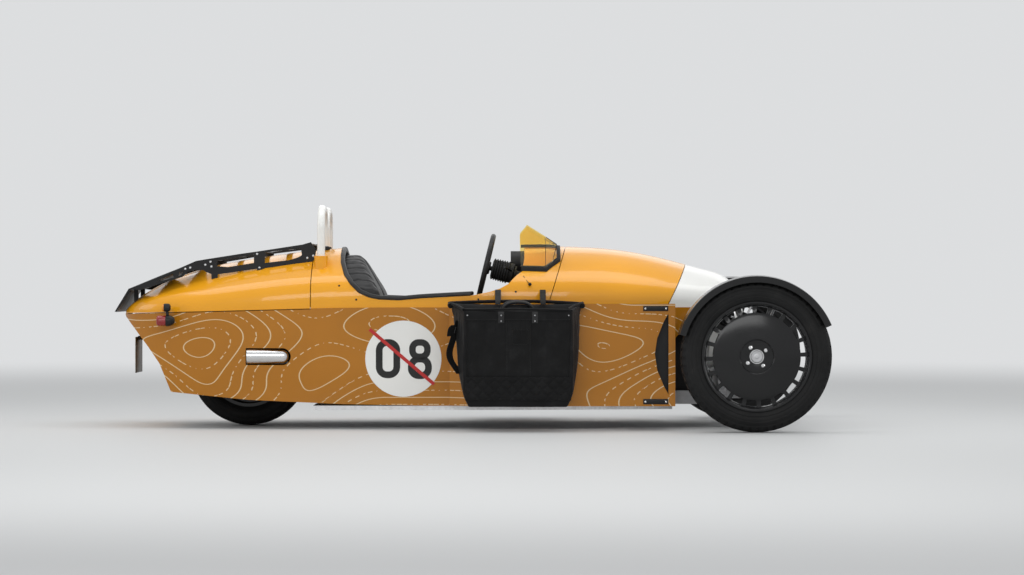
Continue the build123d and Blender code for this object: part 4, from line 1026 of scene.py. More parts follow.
def bag_straps():
    """Strap with its buckle on the bag's rear end, and the two straps it hangs by."""
    side = [(-0.035, -0.74, 0.548), (-0.046, -0.745, 0.51), (-0.066, -0.75, 0.44), (-0.083, -0.75, 0.395),
            (-0.078, -0.75, 0.352), (-0.05, -0.748, 0.315), (-0.030, -0.745, 0.285)]
    webbing = strap(side, (0.62, 0.78, 0), 0.046, 0.0035)
    tail = strap([(-0.058, -0.765, 0.525), (-0.076, -0.772, 0.512), (-0.080, -0.776, 0.470)], (0.7, 0.7, 0),
                 0.032, 0.003)
    clasp = buckle((-0.052, -0.747, 0.500), (-1, 0, 0.25), (0.25, 0, 1), 0.040)
    parts = [(joined([webbing, tail]), "side_strap", "webbing"), (clasp, "buckle", "black_metal")]
    hooks = [strap([(x, -0.650, 0.700), (x, -0.652, 0.672), (x, -0.664, 0.652), (x, -0.70, 0.645),
                    (x, -0.72, 0.628)], (1, 0, 0), 0.026, 0.003, 1) for x in (0.159, 0.383)]
    for hook in hooks:
        for vertex in hook.data.vertices:
            if vertex.co.z > 0.655:
                vertex.co.y += (vertex.co.z - 0.655) * 2.4
    return parts + [(joined(hooks), "hanging_straps", "webbing")]


def make_bag():
    """Bag on the right-hand side blade, as a list of (piece, name, finish)."""
    bag = bag_body()
    return [(bag, "body", "waxed_canvas"), *bag_panels(bag), *bag_handles(bag), *bag_piping(bag), *bag_straps()]


class CAR_OT_hang_bags(bpy.types.Operator):
    """Canvas bags on both side blades"""
    bl_idname = "car.hang_bags"
    bl_label = "Hang bags"

    def execute(self, context):
        for obj, name, finish in make_bag():
            slot = "black_metal" if finish in ("cast_aluminium", "black_metal") else "waxed_canvas"
            obj, twin = settle_both(obj, f"bag_SIDE_{name}", finish, "car", slot, 40)
            if name == "body":
                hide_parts("pannier_right")
                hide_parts("pannier_left")
        return {"FINISHED"}


# ---------------------------------------------------------------- markings
def film(target, obj, side, lift, thick=0.0004):
    """Finish a marking: cut fine, press it on a panel, lift it off and give it thickness outwards."""
    edit(obj)
    select_all()
    bpy.ops.mesh.quads_convert_to_tris()
    bpy.ops.mesh.subdivide(number_cuts=3)
    close_edit()
    press(obj, target)
    for vertex in obj.data.vertices:
        vertex.co.y += side * lift
    turn_outwards(obj)
    out = obj.data.polygons[0].normal.y * side > 0
    return apply_modifier(obj, "SOLIDIFY", thickness=thick, offset=1 if out else -1)


def flat_shape(outline, side):
    """Flat face through (x, z) points, out beyond one side of the car."""
    obj = polyline([(x, side * 0.7, z) for x, z in outline], closed=True)
    close_edit()
    return obj


def round_outline(x, z, radius, count=72):
    """Outline of a circle as (x, z) points."""
    return [(x + radius * math.cos(math.tau * k / count), z + radius * math.sin(math.tau * k / count))
            for k in range(count)]


def rounded_box(x, z, width, height, corner):
    """Outline of a round-cornered rectangle as (x, z) points."""
    w, h = width / 2 - corner, height / 2 - corner
    corners = ((1, 1, 0), (-1, 1, 90), (-1, -1, 180), (1, -1, 270))
    turns = [(sx, sz, math.radians(start + 9 * k)) for sx, sz, start in corners for k in range(11)]
    return [(x + sx * w + corner * math.cos(a), z + sz * h + corner * math.sin(a)) for sx, sz, a in turns]


def digit(char, x, z, side):
    """One plain digit drawn as a round-cornered ring, the eight with two of them, seen upright from its side."""
    def ring(cz, width, height, corner, stroke):
        outlines = (rounded_box(0, cz, width, height, corner),
                    rounded_box(0, cz, width - 2 * stroke, height - 2 * stroke, max(corner - stroke, 0.006)))
        loops = [polyline([(x - side * px, side * 0.7, z + pz) for px, pz in outline], closed=True, fill=False)
                 for outline in outlines]
        close_edit()
        obj = joined(loops)
        edit(obj, "EDGE")
        select_all()
        bpy.ops.mesh.bridge_edge_loops()
        close_edit()
        return obj

    if char == "0":
        return ring(0, 0.122, 0.196, 0.056, 0.034)
    return joined([ring(0.0455, 0.108, 0.105, 0.048, 0.033), ring(-0.0435, 0.120, 0.117, 0.054, 0.034)])


class CAR_OT_mark_sides(bpy.types.Operator):
    """Number discs with their stripe on both flanks"""
    bl_idname = "car.mark_sides"
    bl_label = "Mark sides"

    def execute(self, context):
        x, z, radius = NUMBER_DISC
        for side, name in SIDES:
            flank = frame["nodes"][f"flank_{name}"]
            disc = film(flank, flat_shape(round_outline(x, z, radius), side), side, 0.0003)
            settle(disc, f"number_disc_{name}", "white_paint", "car", "white_paint")
            digits = [digit(char, x - side * shift, z, side) for char, shift in (("0", -0.077), ("8", 0.083))]
            made = film(flank, joined(digits), side, 0.0009)
            settle(made, f"number_{name}", "digit_black", "car", "black_plastic")
            lean = -side
            a, b = Vector((x - lean * 0.169, z + 0.147)), Vector((x + lean * 0.154, z - 0.128))
            across = Vector((-(b - a).y, (b - a).x)).normalized() * 0.0085
            outline = [tuple(p) for p in (a + across, b + across, b - across, a - across)]
            stripe = film(flank, flat_shape(outline, side), side, 0.0015)
            settle(stripe, f"number_stripe_{name}", "stripe_red", "car", "red_lens")
        return {"FINISHED"}


# ---------------------------------------------------------------- lamps, plate and other fittings
def shell_lathe(profile, centre, steps=64, axis=(0, 1, 0), bevel=0):
    """Lathed piece from a closed (radius, along) outline."""
    obj = lathe([*profile, profile[0]], centre, steps, axis)
    if bevel:
        apply_modifier(obj, "BEVEL", width=bevel, segments=2, limit_method="ANGLE", angle_limit=math.radians(30))
    return obj


def fit_headlamps():
    """Bucket, rim, reflector, bulb, lens and screw of both headlamps."""
    axis, at = (1, 0, 0), HEADLAMP
    bucket = shell_lathe([(0.0, -0.072), (0.020, -0.0715), (0.045, -0.066), (0.066, -0.052), (0.078, -0.030),
                          (0.0835, -0.004), (0.0845, 0.020), (0.0845, 0.040), (0.0815, 0.040), (0.0815, 0.018),
                          (0.080, -0.004), (0.0745, -0.029), (0.063, -0.050), (0.043, -0.0635), (0.0, -0.069)],
                         at, 72, axis)
    ring = shell_lathe([(0.0790, 0.036), (0.0848, 0.036), (0.0850, 0.042), (0.0845, 0.052), (0.0815, 0.0565),
                        (0.0775, 0.0575), (0.0765, 0.0545), (0.0785, 0.050)], at, 72, axis)
    bowl = lathe([(0.007, -0.040), (0.020, -0.0395), (0.040, -0.030), (0.057, -0.012), (0.070, 0.012),
                  (0.0780, 0.034), (0.0785, 0.046)], at, 72, axis)
    apply_modifier(bowl, "SOLIDIFY", thickness=0.0012, offset=-1)
    bulb = shell_lathe([(0.0, -0.042), (0.007, -0.042), (0.007, -0.020), (0.0062, -0.016), (0.0062, -0.004),
                        (0.004, 0.0), (0.0, 0.001)], at, 24, axis)
    lens = lathe([(0.0, 0.0635), (0.030, 0.062), (0.055, 0.0575), (0.070, 0.0525), (0.0768, 0.0495)], at, 72, axis)
    apply_modifier(lens, "SOLIDIFY", thickness=0.003, offset=-1)
    pin = screw(at + Vector((0.048, 0, -0.0835)), (0, 0, -1), 0.004, 0.004)
    for obj, name, finish, slot in (
        (bucket, "bucket", "black_gloss", "black_gloss"), (ring, "rim", "chrome", "steel"),
        (bowl, "reflector", "mirror", "steel"), (bulb, "bulb", "clear_glass", "clear_glass"),
        (lens, "lens", "clear_glass", "clear_glass"), (pin, "screw", "chrome", "steel"),
    ):
        for made in settle_both(obj, f"headlamp_{name}_SIDE", finish, "car", slot):
            if name == "bucket":
                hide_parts("headlamps")
            if name == "lens":
                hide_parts("headlamp_lenses")


def fit_tail_lamps():
    """Red tail lamp with the amber flasher over it on one stay, on both sides."""
    axis = (1, 0, 0)
    lens = shell_lathe([(0.0, -0.030), (0.012, -0.0295), (0.022, -0.0275), (0.0270, -0.023), (0.0270, 0.018),
                        (0.0, 0.018)], TAIL_LAMP, 48, axis, 0.0006)
    body = shell_lathe([(0.0, 0.0185), (0.0285, 0.0185), (0.0290, 0.0200), (0.0290, 0.030), (0.0265, 0.042),
                        (0.019, 0.056), (0.012, 0.062), (0.0, 0.063)], TAIL_LAMP, 48, axis)
    glow = shell_lathe([(0.0, -0.022), (0.010, -0.0212), (0.0175, -0.018), (0.0185, -0.012), (0.0, -0.012)],
                       FLASHER, 40, axis)
    pod = shell_lathe([(0.0, -0.0115), (0.0200, -0.0115), (0.0210, -0.009), (0.0210, 0.008), (0.0190, 0.016),
                       (0.012, 0.0215), (0.0, 0.022)], FLASHER, 40, axis)
    y, z = TAIL_LAMP.y, TAIL_LAMP.z
    stem = bar([(-1.508, y, 0.566), (-1.511, y, 0.592)], 0.0075, smooth=False)
    inner = Vector((-1.500, -0.3715, z))
    stay = bar([(-1.500, y + 0.02, z), tuple(inner)], 0.009, smooth=False)
    flange = shell_lathe([(0.0, 0), (0.016, 0), (0.016, 0.003), (0.010, 0.0055), (0.0, 0.0055)],
                         inner + Vector((0, 0.004, 0)), 32, (0, -1, 0))
    holder = joined([body, pod, stem, stay, flange])
    settle_both(lens, "tail_lamp_red_lens_SIDE", "red_lens", "car", "red_lens")
    settle_both(glow, "tail_lamp_amber_lens_SIDE", "amber_lens", "car", "amber_screen")
    for made in settle_both(holder, "tail_lamp_body_SIDE", "black_metal", "car", "black_metal"):
        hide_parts("tail_lamps")


class CAR_OT_fit_lamps(bpy.types.Operator):
    """Headlamps with their reflectors, and tail lamps"""
    bl_idname = "car.fit_lamps"
    bl_label = "Fit lamps"

    def execute(self, context):
        fit_headlamps()
        fit_tail_lamps()
        return {"FINISHED"}


class CAR_OT_fit_plate(bpy.types.Operator):
    """Blank number plate with its lamp and bracket"""
    bl_idname = "car.fit_plate"
    bl_label = "Fit plate"

    def execute(self, context):
        rear, middle, front = -1.7078, -1.7062, -1.7035
        half, foot, head = 0.1395, 0.272, 0.457
        plate = block((rear, -half, foot), (middle, half, head), 0.0006)
        settle(plate, "number_plate_blank", "plate_white", "car", "plate_white")
        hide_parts("number_plate")
        back = block((middle, -half, foot), (front, half, head), 0.0008)
        lamp = block((front, -0.058, 0.440), (-1.690, 0.058, 0.4615), 0.004, 3)
        arm = block((-1.6995, -0.0215, 0.4405), (-1.640, 0.0215, 0.4515), 0.002)
        screws = [screw((rear, y, z), (-1, 0, 0), 0.005, 0.0028) for y in (-0.1, 0.1) for z in (0.292, 0.437)]
        settle(joined([back, lamp, arm]), "number_plate_holder", "black_metal", "car", "black_metal")
        settle(joined(screws), "number_plate_screws", "black_plastic", "car", "black_plastic")
        return {"FINISHED"}


def coil(low, high, radius, wire, turns):
    """Helical spring between two points."""
    along = high - low
    turn = Vector((0, 0, 1)).rotation_difference(along).to_matrix()
    count = turns * 16
    points = []
    for k in range(count + 1):
        a = math.tau * turns * k / count
        points.append(low + turn @ Vector((radius * math.cos(a), radius * math.sin(a), along.length * k / count)))
    return bar(points, wire, resolution=3)


def damper(low, high, spring_radius=0.024, wire=0.0048, turns=8):
    """Coil-over unit between two points: body, cups with the lower eye, rod and spring."""
    reach = (high - low).length
    along = (high - low) / reach
    waist, foot, head = reach * 0.53, reach * 0.14, reach * 0.80
    body = shell_lathe([(0, 0.018), (0.017, 0.018), (0.019, 0.024), (0.019, reach * 0.52), (0.016, reach * 0.54),
                        (0, reach * 0.54)], low, 40, along)
    cups = [shell_lathe([(0, a), (0.026, a), (0.0268, a + 0.003), (0.0268, a + 0.007), (0.020, a + 0.010),
                         (0, a + 0.010)], low, 40, along) for a in (foot, head)]
    shaft = shell_lathe([(0, waist), (0.0065, waist), (0.0065, reach - 0.012), (0, reach - 0.012)], low, 24, along)
    spring = coil(low + along * (foot + 0.010), low + along * head, spring_radius - wire / 2, wire, turns)
    eye = bar([low - along * 0.002, low + along * 0.034], 0.0088, smooth=False)
    return body, joined([*cups, eye]), shaft, spring


class CAR_OT_fit_dampers(bpy.types.Operator):
    """Coil-over units of the front suspension"""
    bl_idname = "car.fit_dampers"
    bl_label = "Fit dampers"

    def execute(self, context):
        body, cups, shaft, spring = damper(DAMPER_FOOT, DAMPER_HEAD)
        lower = block((1.418, -0.654, 0.2325), (1.438, -0.626, 0.250), 0.002)
        upper = block((1.416, -0.392, 0.496), (1.440, -0.3525, 0.526), 0.002)
        bolts = [screw((x, y, z), (way, 0, 0), 0.007, 0.005) for x, y, z, way in (
            (1.418, -0.640, 0.241, -1), (1.438, -0.640, 0.241, 1), (1.416, -0.376, 0.512, -1),
            (1.440, -0.376, 0.512, 1))]
        settle_both(body, "damper_body_SIDE", "cast_aluminium", "car", "cast_aluminium", 40)
        mounts = joined([cups, lower, upper])
        for made in settle_both(mounts, "damper_mounts_SIDE", "black_metal", "car", "black_metal", 40):
            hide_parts("dampers")
        settle_both(shaft, "damper_rod_SIDE", "chrome", "car", "steel", 40)
        settle_both(spring, "damper_spring_SIDE", "black_gloss", "car", "black_gloss", 40)
        settle_both(joined(bolts), "damper_bolts_SIDE", "chrome", "car", "steel", 40)
        return {"FINISHED"}


def wheel_rim():
    """Leather rim with thumb swells and shallow stitched grooves."""
    fresh()
    bpy.ops.mesh.primitive_torus_add(major_radius=STEERING_RADIUS, minor_radius=0.0128, major_segments=120,
                                     minor_segments=20)
    rim = bpy.context.object
    for vertex in rim.data.vertices:
        a = math.atan2(vertex.co.y, vertex.co.x)
        out = Vector((math.cos(a), math.sin(a), 0)) * STEERING_RADIUS
        bulge = 1 + 0.07 * math.cos(4 * a) ** 8
        groove = 1 - 0.05 * (abs(math.cos(a * 12)) < 0.06)
        vertex.co = out + (vertex.co - out) * min(bulge * groove, 1.0)
    return rim


def wheel_spoke(angle):
    """Flat drilled spoke at an angle round the hub."""
    fresh()
    bpy.ops.mesh.primitive_grid_add(x_subdivisions=26, y_subdivisions=8, size=1)
    spoke = bpy.context.object
    for vertex in spoke.data.vertices:
        along = vertex.co.x + 0.5
        half = 0.013 - 0.004 * math.sin(math.pi * along)
        vertex.co = (0.020 + along * 0.136, vertex.co.y * 2 * half, 0)
    edit(spoke)
    select_faces(spoke, lambda c, n: abs(c.y) < 0.0052 and min(abs(c.x - w) for w in (0.055, 0.085, 0.115)) < 0.0105)
    bpy.ops.mesh.delete(type="FACE")
    close_edit()
    apply_modifier(spoke, "SOLIDIFY", thickness=0.0045, offset=0)
    apply_modifier(spoke, "BEVEL", width=0.0009, segments=2, limit_method="ANGLE")
    spoke.data.transform(Matrix.Rotation(math.radians(angle), 4, "Z"))
    return spoke


class CAR_OT_fit_steering_wheel(bpy.types.Operator):
    """Leather rim, drilled spokes and hub of the steering wheel"""
    bl_idname = "car.fit_steering_wheel"
    bl_label = "Fit steering wheel"

    def execute(self, context):
        lean, rise = math.sin(STEERING_TILT), math.cos(STEERING_TILT)
        pose = Matrix.Translation(STEERING_HUB) @ Matrix(((0, -lean, rise), (1, 0, 0), (0, -rise, -lean))).to_4x4()
        rim = wheel_rim()
        ring = STEERING_RADIUS - 0.0123
        seam = [(ring * math.cos(a), ring * math.sin(a), 0.0013 * (-1) ** k)
                for k, a in enumerate(math.tau * k / 180 for k in range(180))]
        thread = bar(seam, 0.0006, closed=True, smooth=False, resolution=1)
        plate = [wheel_spoke(angle) for angle in (0, 180, 270)]
        plate.append(shell_lathe([(0.010, -0.0026), (0.0335, -0.0026), (0.0335, 0.0026), (0.010, 0.0026)], (0, 0, 0),
                                 64, (0, 0, 1), 0.0006))
        hub = shell_lathe([(0.0122, 0.0035), (0.0335, 0.0035), (0.0335, 0.0155), (0.0290, 0.0225), (0.0122, 0.0225)],
                          (0, 0, 0), 64, (0, 0, 1), 0.0008)
        cap = shell_lathe([(0, -0.0105), (0.0225, -0.0105), (0.0265, -0.0075), (0.0275, -0.0026), (0, -0.0026)],
                          (0, 0, 0), 48, (0, 0, 1))
        ring, face = 0.0302, -0.0026
        bolts = [screw((ring * math.cos(a), ring * math.sin(a), face), (0, 0, -1), 0.0026, 0.002)
                 for a in (math.radians(30 + 60 * k) for k in range(6))]
        for obj, name, finish, slot in (
            (rim, "rim", "black_leather", "black_leather"), (thread, "stitching", "thread", "black_leather"),
            (joined(plate), "spokes", "black_metal", "black_metal"),
            (joined([hub, cap]), "hub", "black_plastic", "black_plastic"), (joined(bolts), "bolts", "chrome", "steel"),
        ):
            obj.data.transform(pose)
            made = settle(obj, f"steering_wheel_{name}", finish, "steering_wheel", slot, 40)
            if name == "rim":
                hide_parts("steering_wheel")
        return {"FINISHED"}


class CAR_OT_fit_fasteners(bpy.types.Operator):
    """Bolts of the rack and the blades, catches, and collars of the hoops"""
    bl_idname = "car.fit_fasteners"
    bl_label = "Fit fasteners"

    def execute(self, context):
        rack = [screw((x, -RACK_SIDE_Y, z), (0, -1, 0), 0.0065, 0.004) for x, z in (
            (-1.331, 0.827), (-1.305, 0.842), (-1.300, 0.818), (-1.433, 0.806), (-1.408, 0.812), (-1.056, 0.812),
            (-0.782, 0.873), (-0.812, 0.862), (-1.068, 0.882))]
        settle(joined(both_sides(rack)), "rack_bolts", "chrome", "tail_lid", "steel")
        clips = [block((-1.068, side * 0.304 - 0.004, 0.776), (-1.038, side * 0.304 + 0.004, 0.808), 0.002)
                 for side in (-1, 1)]
        settle(joined(clips), "rack_clips", "rubber", "tail_lid", "rubber")

        bolts = [screw((x, BLADE_FACE_Y - 0.0035, z), (0, -1, 0), 0.006, 0.004)
                 for z in BLADE_PLATE_HEIGHTS for x in (0.893, 0.996)]
        plates = [block((0.882, BLADE_FACE_Y - 0.0033, z - 0.0125), (1.006, BLADE_FACE_Y + 0.0023, z + 0.0125),
                        0.0035, 3) for z in BLADE_PLATE_HEIGHTS]
        bolts, plates = both_sides(bolts), both_sides(plates)
        settle(joined(plates), "blade_plates", "black_metal", "car", "black_metal")
        settle(joined(bolts), "blade_bolts", "chrome", "car", "steel")

        collars = []
        crown = frame["nodes"]["cockpit_surround"]
        leg_x, leg_y = HOOP_LEG
        for y in (-leg_y, leg_y):
            hit, where, normal, index = crown.ray_cast(Vector((leg_x - 0.033, y, 1.3)), Vector((0, 0, -1)))
            base = where.z if hit else 0.90
            collars.append(shell_lathe([(0.0203, base - 0.002), (0.0285, base - 0.002), (0.0295, base + 0.003),
                                        (0.0285, base + 0.016), (0.0250, base + 0.021), (0.0203, base + 0.022)],
                                       (leg_x, y, 0), 40, (0, 0, 1)))
        settle(joined(collars), "hoop_collars", "rubber", "car", "rubber")
        return {"FINISHED"}


def on_flank_of(node_name, x, z, side):
    """Place and normal on the outside of a solid, seen from one side of the car."""
    target = frame["nodes"][node_name]
    hit, where, normal, index = target.ray_cast(Vector((x, side * 1.5, z)), Vector((0, -side, 0)))
    if not hit:
        raise RuntimeError(f"nothing of {node_name} at {x}, {z}")
    return where, normal


REARWARDS = (-1, 0, 0)
# Centre, radius and number of ticks of each dial.
DIALS = ((Vector((0.236, 0.0, 0.838)), 0.0535, 40), (Vector((0.292, 0.118, 0.800)), 0.0300, 24))


def fit_column():
    """Pleated boot round the steering column and its two stalks."""
    axis = Vector((math.cos(STEERING_TILT), 0, -math.sin(STEERING_TILT)))
    folds = [(0.0125, 0.030), (0.036, 0.030)]
    for k in range(7):
        a, swell = 0.033 + k * 0.0125, k * 0.0004
        folds += [(0.0485 + swell, a), (0.0550 + swell, a + 0.0045), (0.0552 + swell, a + 0.0065),
                  (0.0485 + swell, a + 0.0110)]
    folds += [(0.0500, 0.1215), (0.0505, 0.1400), (0.0420, 0.1470), (0.0125, 0.1470)]
    settle(shell_lathe(folds, STEERING_HUB, 72, axis), "column_boot", "rubber", "car", "rubber", 50)
    stalks = []
    for side, z in ((-1, 0.012), (1, 0.004)):
        root = STEERING_HUB + axis * 0.135 + Vector((0, side * 0.045, z))
        stalks.append(bar([root, root + Vector((-0.018, side * 0.045, 0.010)),
                           root + Vector((-0.030, side * 0.085, 0.016))], 0.0042))
        stalks.append(bar([root + Vector((-0.030, side * 0.083, 0.016)), root + Vector((-0.035, side * 0.106, 0.019))],
                          0.0062, smooth=False))
    settle(joined(stalks), "column_stalks", "black_plastic", "car", "black_plastic", 50)


def fit_dials():
    """Two blank-faced dials with tick marks, red needles, bright rims and glasses."""
    faces, marks, needles, rims, glasses = [], [], [], [], []
    for centre, radius, ticks in DIALS:
        inside = radius - 0.0035
        faces.append(shell_lathe([(0, 0), (radius, 0), (radius, 0.0012), (0, 0.0012)], centre, 64, REARWARDS))
        rims.append(shell_lathe([(inside, 0.0012), (radius, 0.0012), (radius, 0.0075), (radius - 0.0015, 0.009),
                                 (inside, 0.0075)], centre, 64, REARWARDS))
        glasses.append(shell_lathe([(0, 0.0052), (radius - 0.0036, 0.0052), (radius - 0.0036, 0.0064), (0, 0.0064)],
                                   centre, 48, REARWARDS))
        for k in range(ticks):
            deep = radius * (0.20 if k % 5 == 0 else 0.11)
            one = block((-0.0002, -0.0006, radius * 0.88 - deep), (0.0002, 0.0006, radius * 0.88), 0.0001, 1)
            one.data.transform(Matrix.Translation(centre + Vector((-0.0015, 0, 0)))
                               @ Matrix.Rotation(math.radians(-140 + 280 * k / (ticks - 1)), 4, "X"))
            marks.append(one)
        needle = block((-0.0004, -0.0011, -radius * 0.2), (0.0004, 0.0011, radius * 0.74), 0.0003, 1)
        needle.data.transform(Matrix.Translation(centre + Vector((-0.0026, 0, 0)))
                              @ Matrix.Rotation(math.radians(-118), 4, "X"))
        hub = shell_lathe([(0, 0.0018), (0.0045, 0.0018), (0.004, 0.0038), (0, 0.0040)], centre, 24, REARWARDS)
        needles += [needle, hub]
    settle(joined(faces), "dial_faces", "dark_panel", "car", "black_plastic")
    settle(joined(marks), "dial_marks", "white_paint", "car", "white_paint")
    settle(joined(needles), "dial_needles", "stripe_red", "car", "red_lens")
    settle(joined(rims), "dial_rims", "chrome", "car", "steel")
    settle(joined(glasses), "dial_glasses", "clear_glass", "car", "clear_glass")


def fit_switches():
    """Row of six toggle switches with a starter button below."""
    toggles, plates = [], []
    for k in range(6):
        root = Vector((0.306, 0.105 - k * 0.042, 0.745))
        plates.append(shell_lathe([(0, 0), (0.0098, 0), (0.0098, 0.0022), (0.0072, 0.0052), (0, 0.0052)], root, 24,
                                  REARWARDS))
        toggles.append(shell_lathe([(0, 0.004), (0.0022, 0.004), (0.0034, 0.019), (0.0030, 0.0215), (0, 0.0222)], root,
                                   20, Vector((-1, 0, 0.35))))
    plates.append(shell_lathe([(0, 0), (0.019, 0), (0.019, 0.003), (0.0165, 0.005), (0.0165, 0.010), (0.014, 0.0115),
                               (0, 0.0115)], (0.306, 0.0, 0.700), 40, REARWARDS))
    settle(joined(toggles + plates), "dash_switches", "chrome", "car", "steel")


def fit_floor():
    """Ribbed pads on the pedals, ribbed mats on the floor and the boot of the gear lever."""
    pads, ribs = [], []
    for y in (-0.340, -0.250, -0.160):
        pads.append(block((0.5955, y - 0.027, 0.209), (0.600, y + 0.027, 0.271), 0.0018))
        ribs += [block((0.5925, y - 0.022, 0.216 + k * 0.0102), (0.596, y + 0.022, 0.2205 + k * 0.0102), 0.001)
                 for k in range(5)]
    settle(joined(pads + ribs), "pedal_pads", "rubber", "car", "rubber")

    top = FLOOR_Z + 0.004
    mats = []
    for side in (-1, 1):
        low, high = sorted((side * 0.072, side * 0.385))
        mats.append(block((0.150, low, FLOOR_Z), (0.640, high, top), 0.0015))
        mats += [block((0.185, low + 0.022 + k * 0.0245, top - 0.0007), (0.605, low + 0.032 + k * 0.0245, top + 0.0023),
                       0.001) for k in range(11)]
    mats.append(block((-0.560, -0.058, FLOOR_Z), (-0.430, 0.058, top), 0.0015))
    settle(joined(mats), "floor_mats", "rubber", "car", "rubber")

    foot = Vector((0.163, 0.020, 0))
    hit, where, normal, index = frame["nodes"]["tunnel"].ray_cast(Vector((foot.x, -0.020, 1.2)), Vector((0, 0, -1)))
    if not hit:
        raise RuntimeError("no tunnel under the gear lever")
    foot.z = where.z
    boot = shell_lathe([(0.0, 0.0005), (0.045, 0.0005), (0.046, 0.004), (0.040, 0.007), (0.041, 0.013), (0.033, 0.018),
                        (0.034, 0.024), (0.025, 0.030), (0.026, 0.036), (0.018, 0.043), (0.0135, 0.052), (0.0, 0.053)],
                       foot, 48, (0, 0, 1))
    settle(boot, "gear_boot", "rubber", "car", "rubber", 50)


def fit_studs_and_ties():
    """Studs of the cockpit cover, and the tie with its ball at the foot of each screen."""
    studs = []
    for x, z in ((0.248, 0.690), (0.060, 0.652), (-0.553, 0.650), (-0.640, 0.720)):
        for side in (-1, 1):
            where, normal = on_flank_of("cockpit_surround", x, z, side)
            studs.append(screw(where - normal * 0.0004, normal, 0.0052, 0.0032))
    settle(joined(studs), "cover_studs", "black_metal", "car", "black_metal")
    ties = []
    for side in (-1, 1):
        high, normal = on_flank_of("cockpit_surround", 0.286, 0.768, side)
        low, normal = on_flank_of("cockpit_surround", 0.318, 0.722, side)
        ball = low + normal * 0.011
        ties.append(bar([high + normal * 0.003, high + normal * 0.008 + Vector((0.01, 0, -0.02)), ball], 0.0016))
        ties.append(shell_lathe([(0, -0.009), (0.005, -0.0075), (0.009, 0), (0.005, 0.0075), (0, 0.009)], ball, 24,
                                (0, 0, 1)))
    settle(joined(ties), "screen_ties", "black_metal", "car", "black_metal", 60)


class CAR_OT_fit_cockpit(bpy.types.Operator):
    """Column boot, dials, switches, pedal pads, mats, gear boot and the studs round the opening"""
    bl_idname = "car.fit_cockpit"
    bl_label = "Fit cockpit"

    def execute(self, context):
        fit_column()
        fit_dials()
        fit_switches()
        fit_floor()
        fit_studs_and_ties()
        return {"FINISHED"}


class CAR_OT_edge_fenders(bpy.types.Operator):
    """Rolled beads along the lips of the front fenders"""
    bl_idname = "car.edge_fenders"
    bl_label = "Edge fenders"

    def execute(self, context):
        arc = [math.radians(a) for a in range(23, 165, 3)]

        def bead(reach, y, wire, resolution):
            return bar([(FRONT.x + reach * math.cos(a), y, FRONT.z + reach * math.sin(a)) for a in arc], wire,
                       resolution=resolution)

        lips = [bead(0.3665, y, 0.0042, 3) for y in (-0.9203, -0.7597)]
        beads = joined([*lips, bead(0.3925, -0.9215, 0.0026, 2)])
        settle_both(beads, "fender_beads_SIDE", "black_gloss", "steer_SIDE", "black_gloss", 50)
        return {"FINISHED"}


# ---------------------------------------------------------------- stage
def floor_material():
    """Pale floor that runs into the background far from the car."""
    made = Finish("floor_pale", Base_Color=(0.66, 0.67, 0.67), Roughness=0.6)
    reach = made.add("VectorMath", {0: made.place()}, operation="LENGTH").outputs["Value"]
    fade = made.add("MapRange", {"From Min": 3.2, "From Max": 15.0, "Value": reach}, interpolation_type="SMOOTHSTEP")
    glow = made.add("Emission", {"Color": BACKDROP})
    both = made.add("MixShader", {"Fac": fade.outputs["Result"], 1: made.shader.outputs[0], 2: glow.outputs[0]})
    made.feed(made.nodes["Material Output"].inputs["Surface"], both.outputs[0])
    return made.material


def soft_light(collection, name, where, aim, size, power):
    """Rectangular area light turned to a point."""
    data = bpy.data.lights.new(name, "AREA")
    data.shape = "RECTANGLE"
    data.size, data.size_y = size
    data.energy = power
    light = bpy.data.objects.new(name, data)
    collection.objects.link(light)
    light.location = where
    light.rotation_euler = (Vector(aim) - Vector(where)).to_track_quat("-Z", "Y").to_euler()


def studio_world():
    """Soft pale surround, a little darker where it is seen or mirrored."""
    world = bpy.data.worlds.new("studio")
    tree = Tree(world)
    soft = tree.nodes["Background"]
    tree.feed(soft.inputs["Color"], (0.92, 0.93, 0.94))
    tree.feed(soft.inputs["Strength"], 0.52)
    seen = tree.add("Background", {"Color": BACKDROP, "Strength": 1.0})
    rays = tree.add("LightPath").outputs
    straight = tree.calc("MAXIMUM", rays["Is Camera Ray"], rays["Is Transmission Ray"])
    direct = tree.calc("MAXIMUM", straight, rays["Is Glossy Ray"])
    both = tree.add("MixShader", {"Fac": direct, 1: soft.outputs[0], 2: seen.outputs[0]})
    tree.feed(tree.nodes["World Output"].inputs["Surface"], both.outputs[0])
    return world


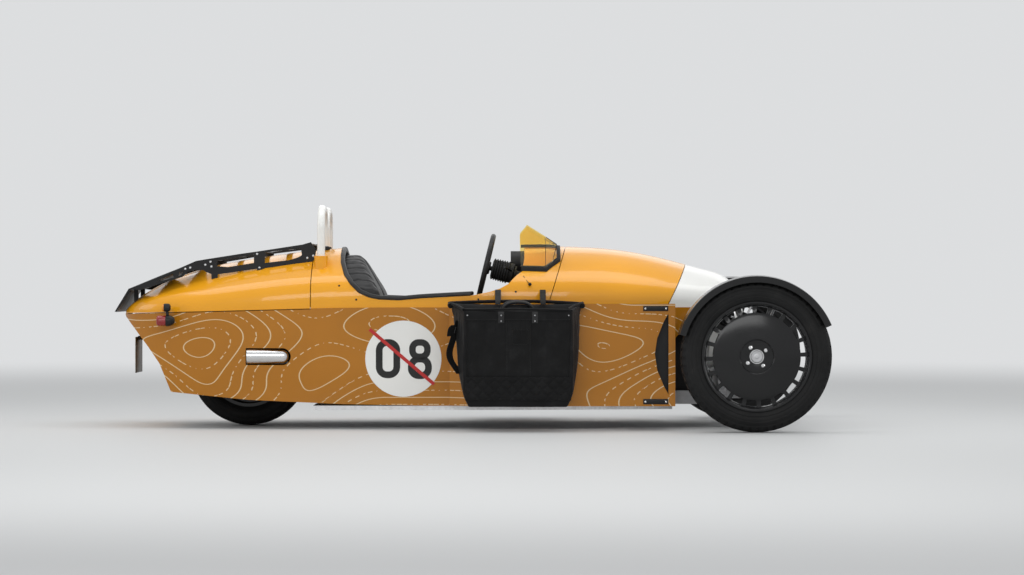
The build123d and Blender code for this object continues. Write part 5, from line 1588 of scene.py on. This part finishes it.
class CAR_OT_build_stage(bpy.types.Operator):
    """Lay the floor, hang the lights and set the camera"""
    bl_idname = "car.build_stage"
    bl_label = "Build stage"

    def execute(self, context):
        view = context.scene.car_stage
        bpy.ops.mesh.primitive_plane_add(size=160, location=(0, 30, -0.0006))
        floor = context.object
        floor.name = "studio_floor"
        floor.data.transform(floor.matrix_world)
        floor.matrix_world = Matrix.Identity(4)
        floor.data.materials.append(floor_material())

        camera = bpy.data.objects.new("camera", bpy.data.cameras.new("camera"))
        context.collection.objects.link(camera)
        camera.location = (view.along, -view.distance, view.height)
        camera.rotation_euler = (math.radians(90), 0, 0)
        camera.data.lens = view.lens
        camera.data.sensor_width = 36
        camera.data.clip_end = 200
        context.scene.camera = camera

        for light in LIGHTS:
            soft_light(context.collection, *light)
        context.scene.world = studio_world()
        context.scene.view_settings.view_transform = "Standard"
        return {"FINISHED"}


# ---------------------------------------------------------------- panel and run
STEPS = (CAR_OT_finish_solids, CAR_OT_fit_tyres, CAR_OT_fit_wheels, CAR_OT_upholster, CAR_OT_hang_bags,
         CAR_OT_mark_sides, CAR_OT_fit_lamps, CAR_OT_fit_plate, CAR_OT_fit_dampers, CAR_OT_fit_steering_wheel,
         CAR_OT_fit_fasteners, CAR_OT_fit_cockpit, CAR_OT_edge_fenders, CAR_OT_build_stage)


class CAR_PT_panel(bpy.types.Panel):
    """Lists the steps that dress the car"""
    bl_label = "Three-wheeler"
    bl_idname = "CAR_PT_panel"
    bl_space_type = "VIEW_3D"
    bl_region_type = "UI"
    bl_category = "Three-wheeler"

    def draw(self, context):
        for step in STEPS:
            self.layout.operator(step.bl_idname)
        for settings in (context.scene.car_paint, context.scene.car_stage):
            for key in settings.bl_rna.properties.keys():
                if key not in ("rna_type", "name"):
                    self.layout.prop(settings, key)


CLASSES = (PaintSettings, StageSettings, *STEPS, CAR_PT_panel)


def register():
    for cls in CLASSES:
        bpy.utils.register_class(cls)
    bpy.types.Scene.car_paint = PointerProperty(type=PaintSettings)
    bpy.types.Scene.car_stage = PointerProperty(type=StageSettings)


def unregister():
    del bpy.types.Scene.car_stage
    del bpy.types.Scene.car_paint
    for cls in reversed(CLASSES):
        bpy.utils.unregister_class(cls)


def main():
    register()
    bpy.ops.object.select_all(action="DESELECT")
    for step in STEPS:
        group, name = step.bl_idname.split(".")
        getattr(getattr(bpy.ops, group), name)()


if __name__ == "__main__":
    main()
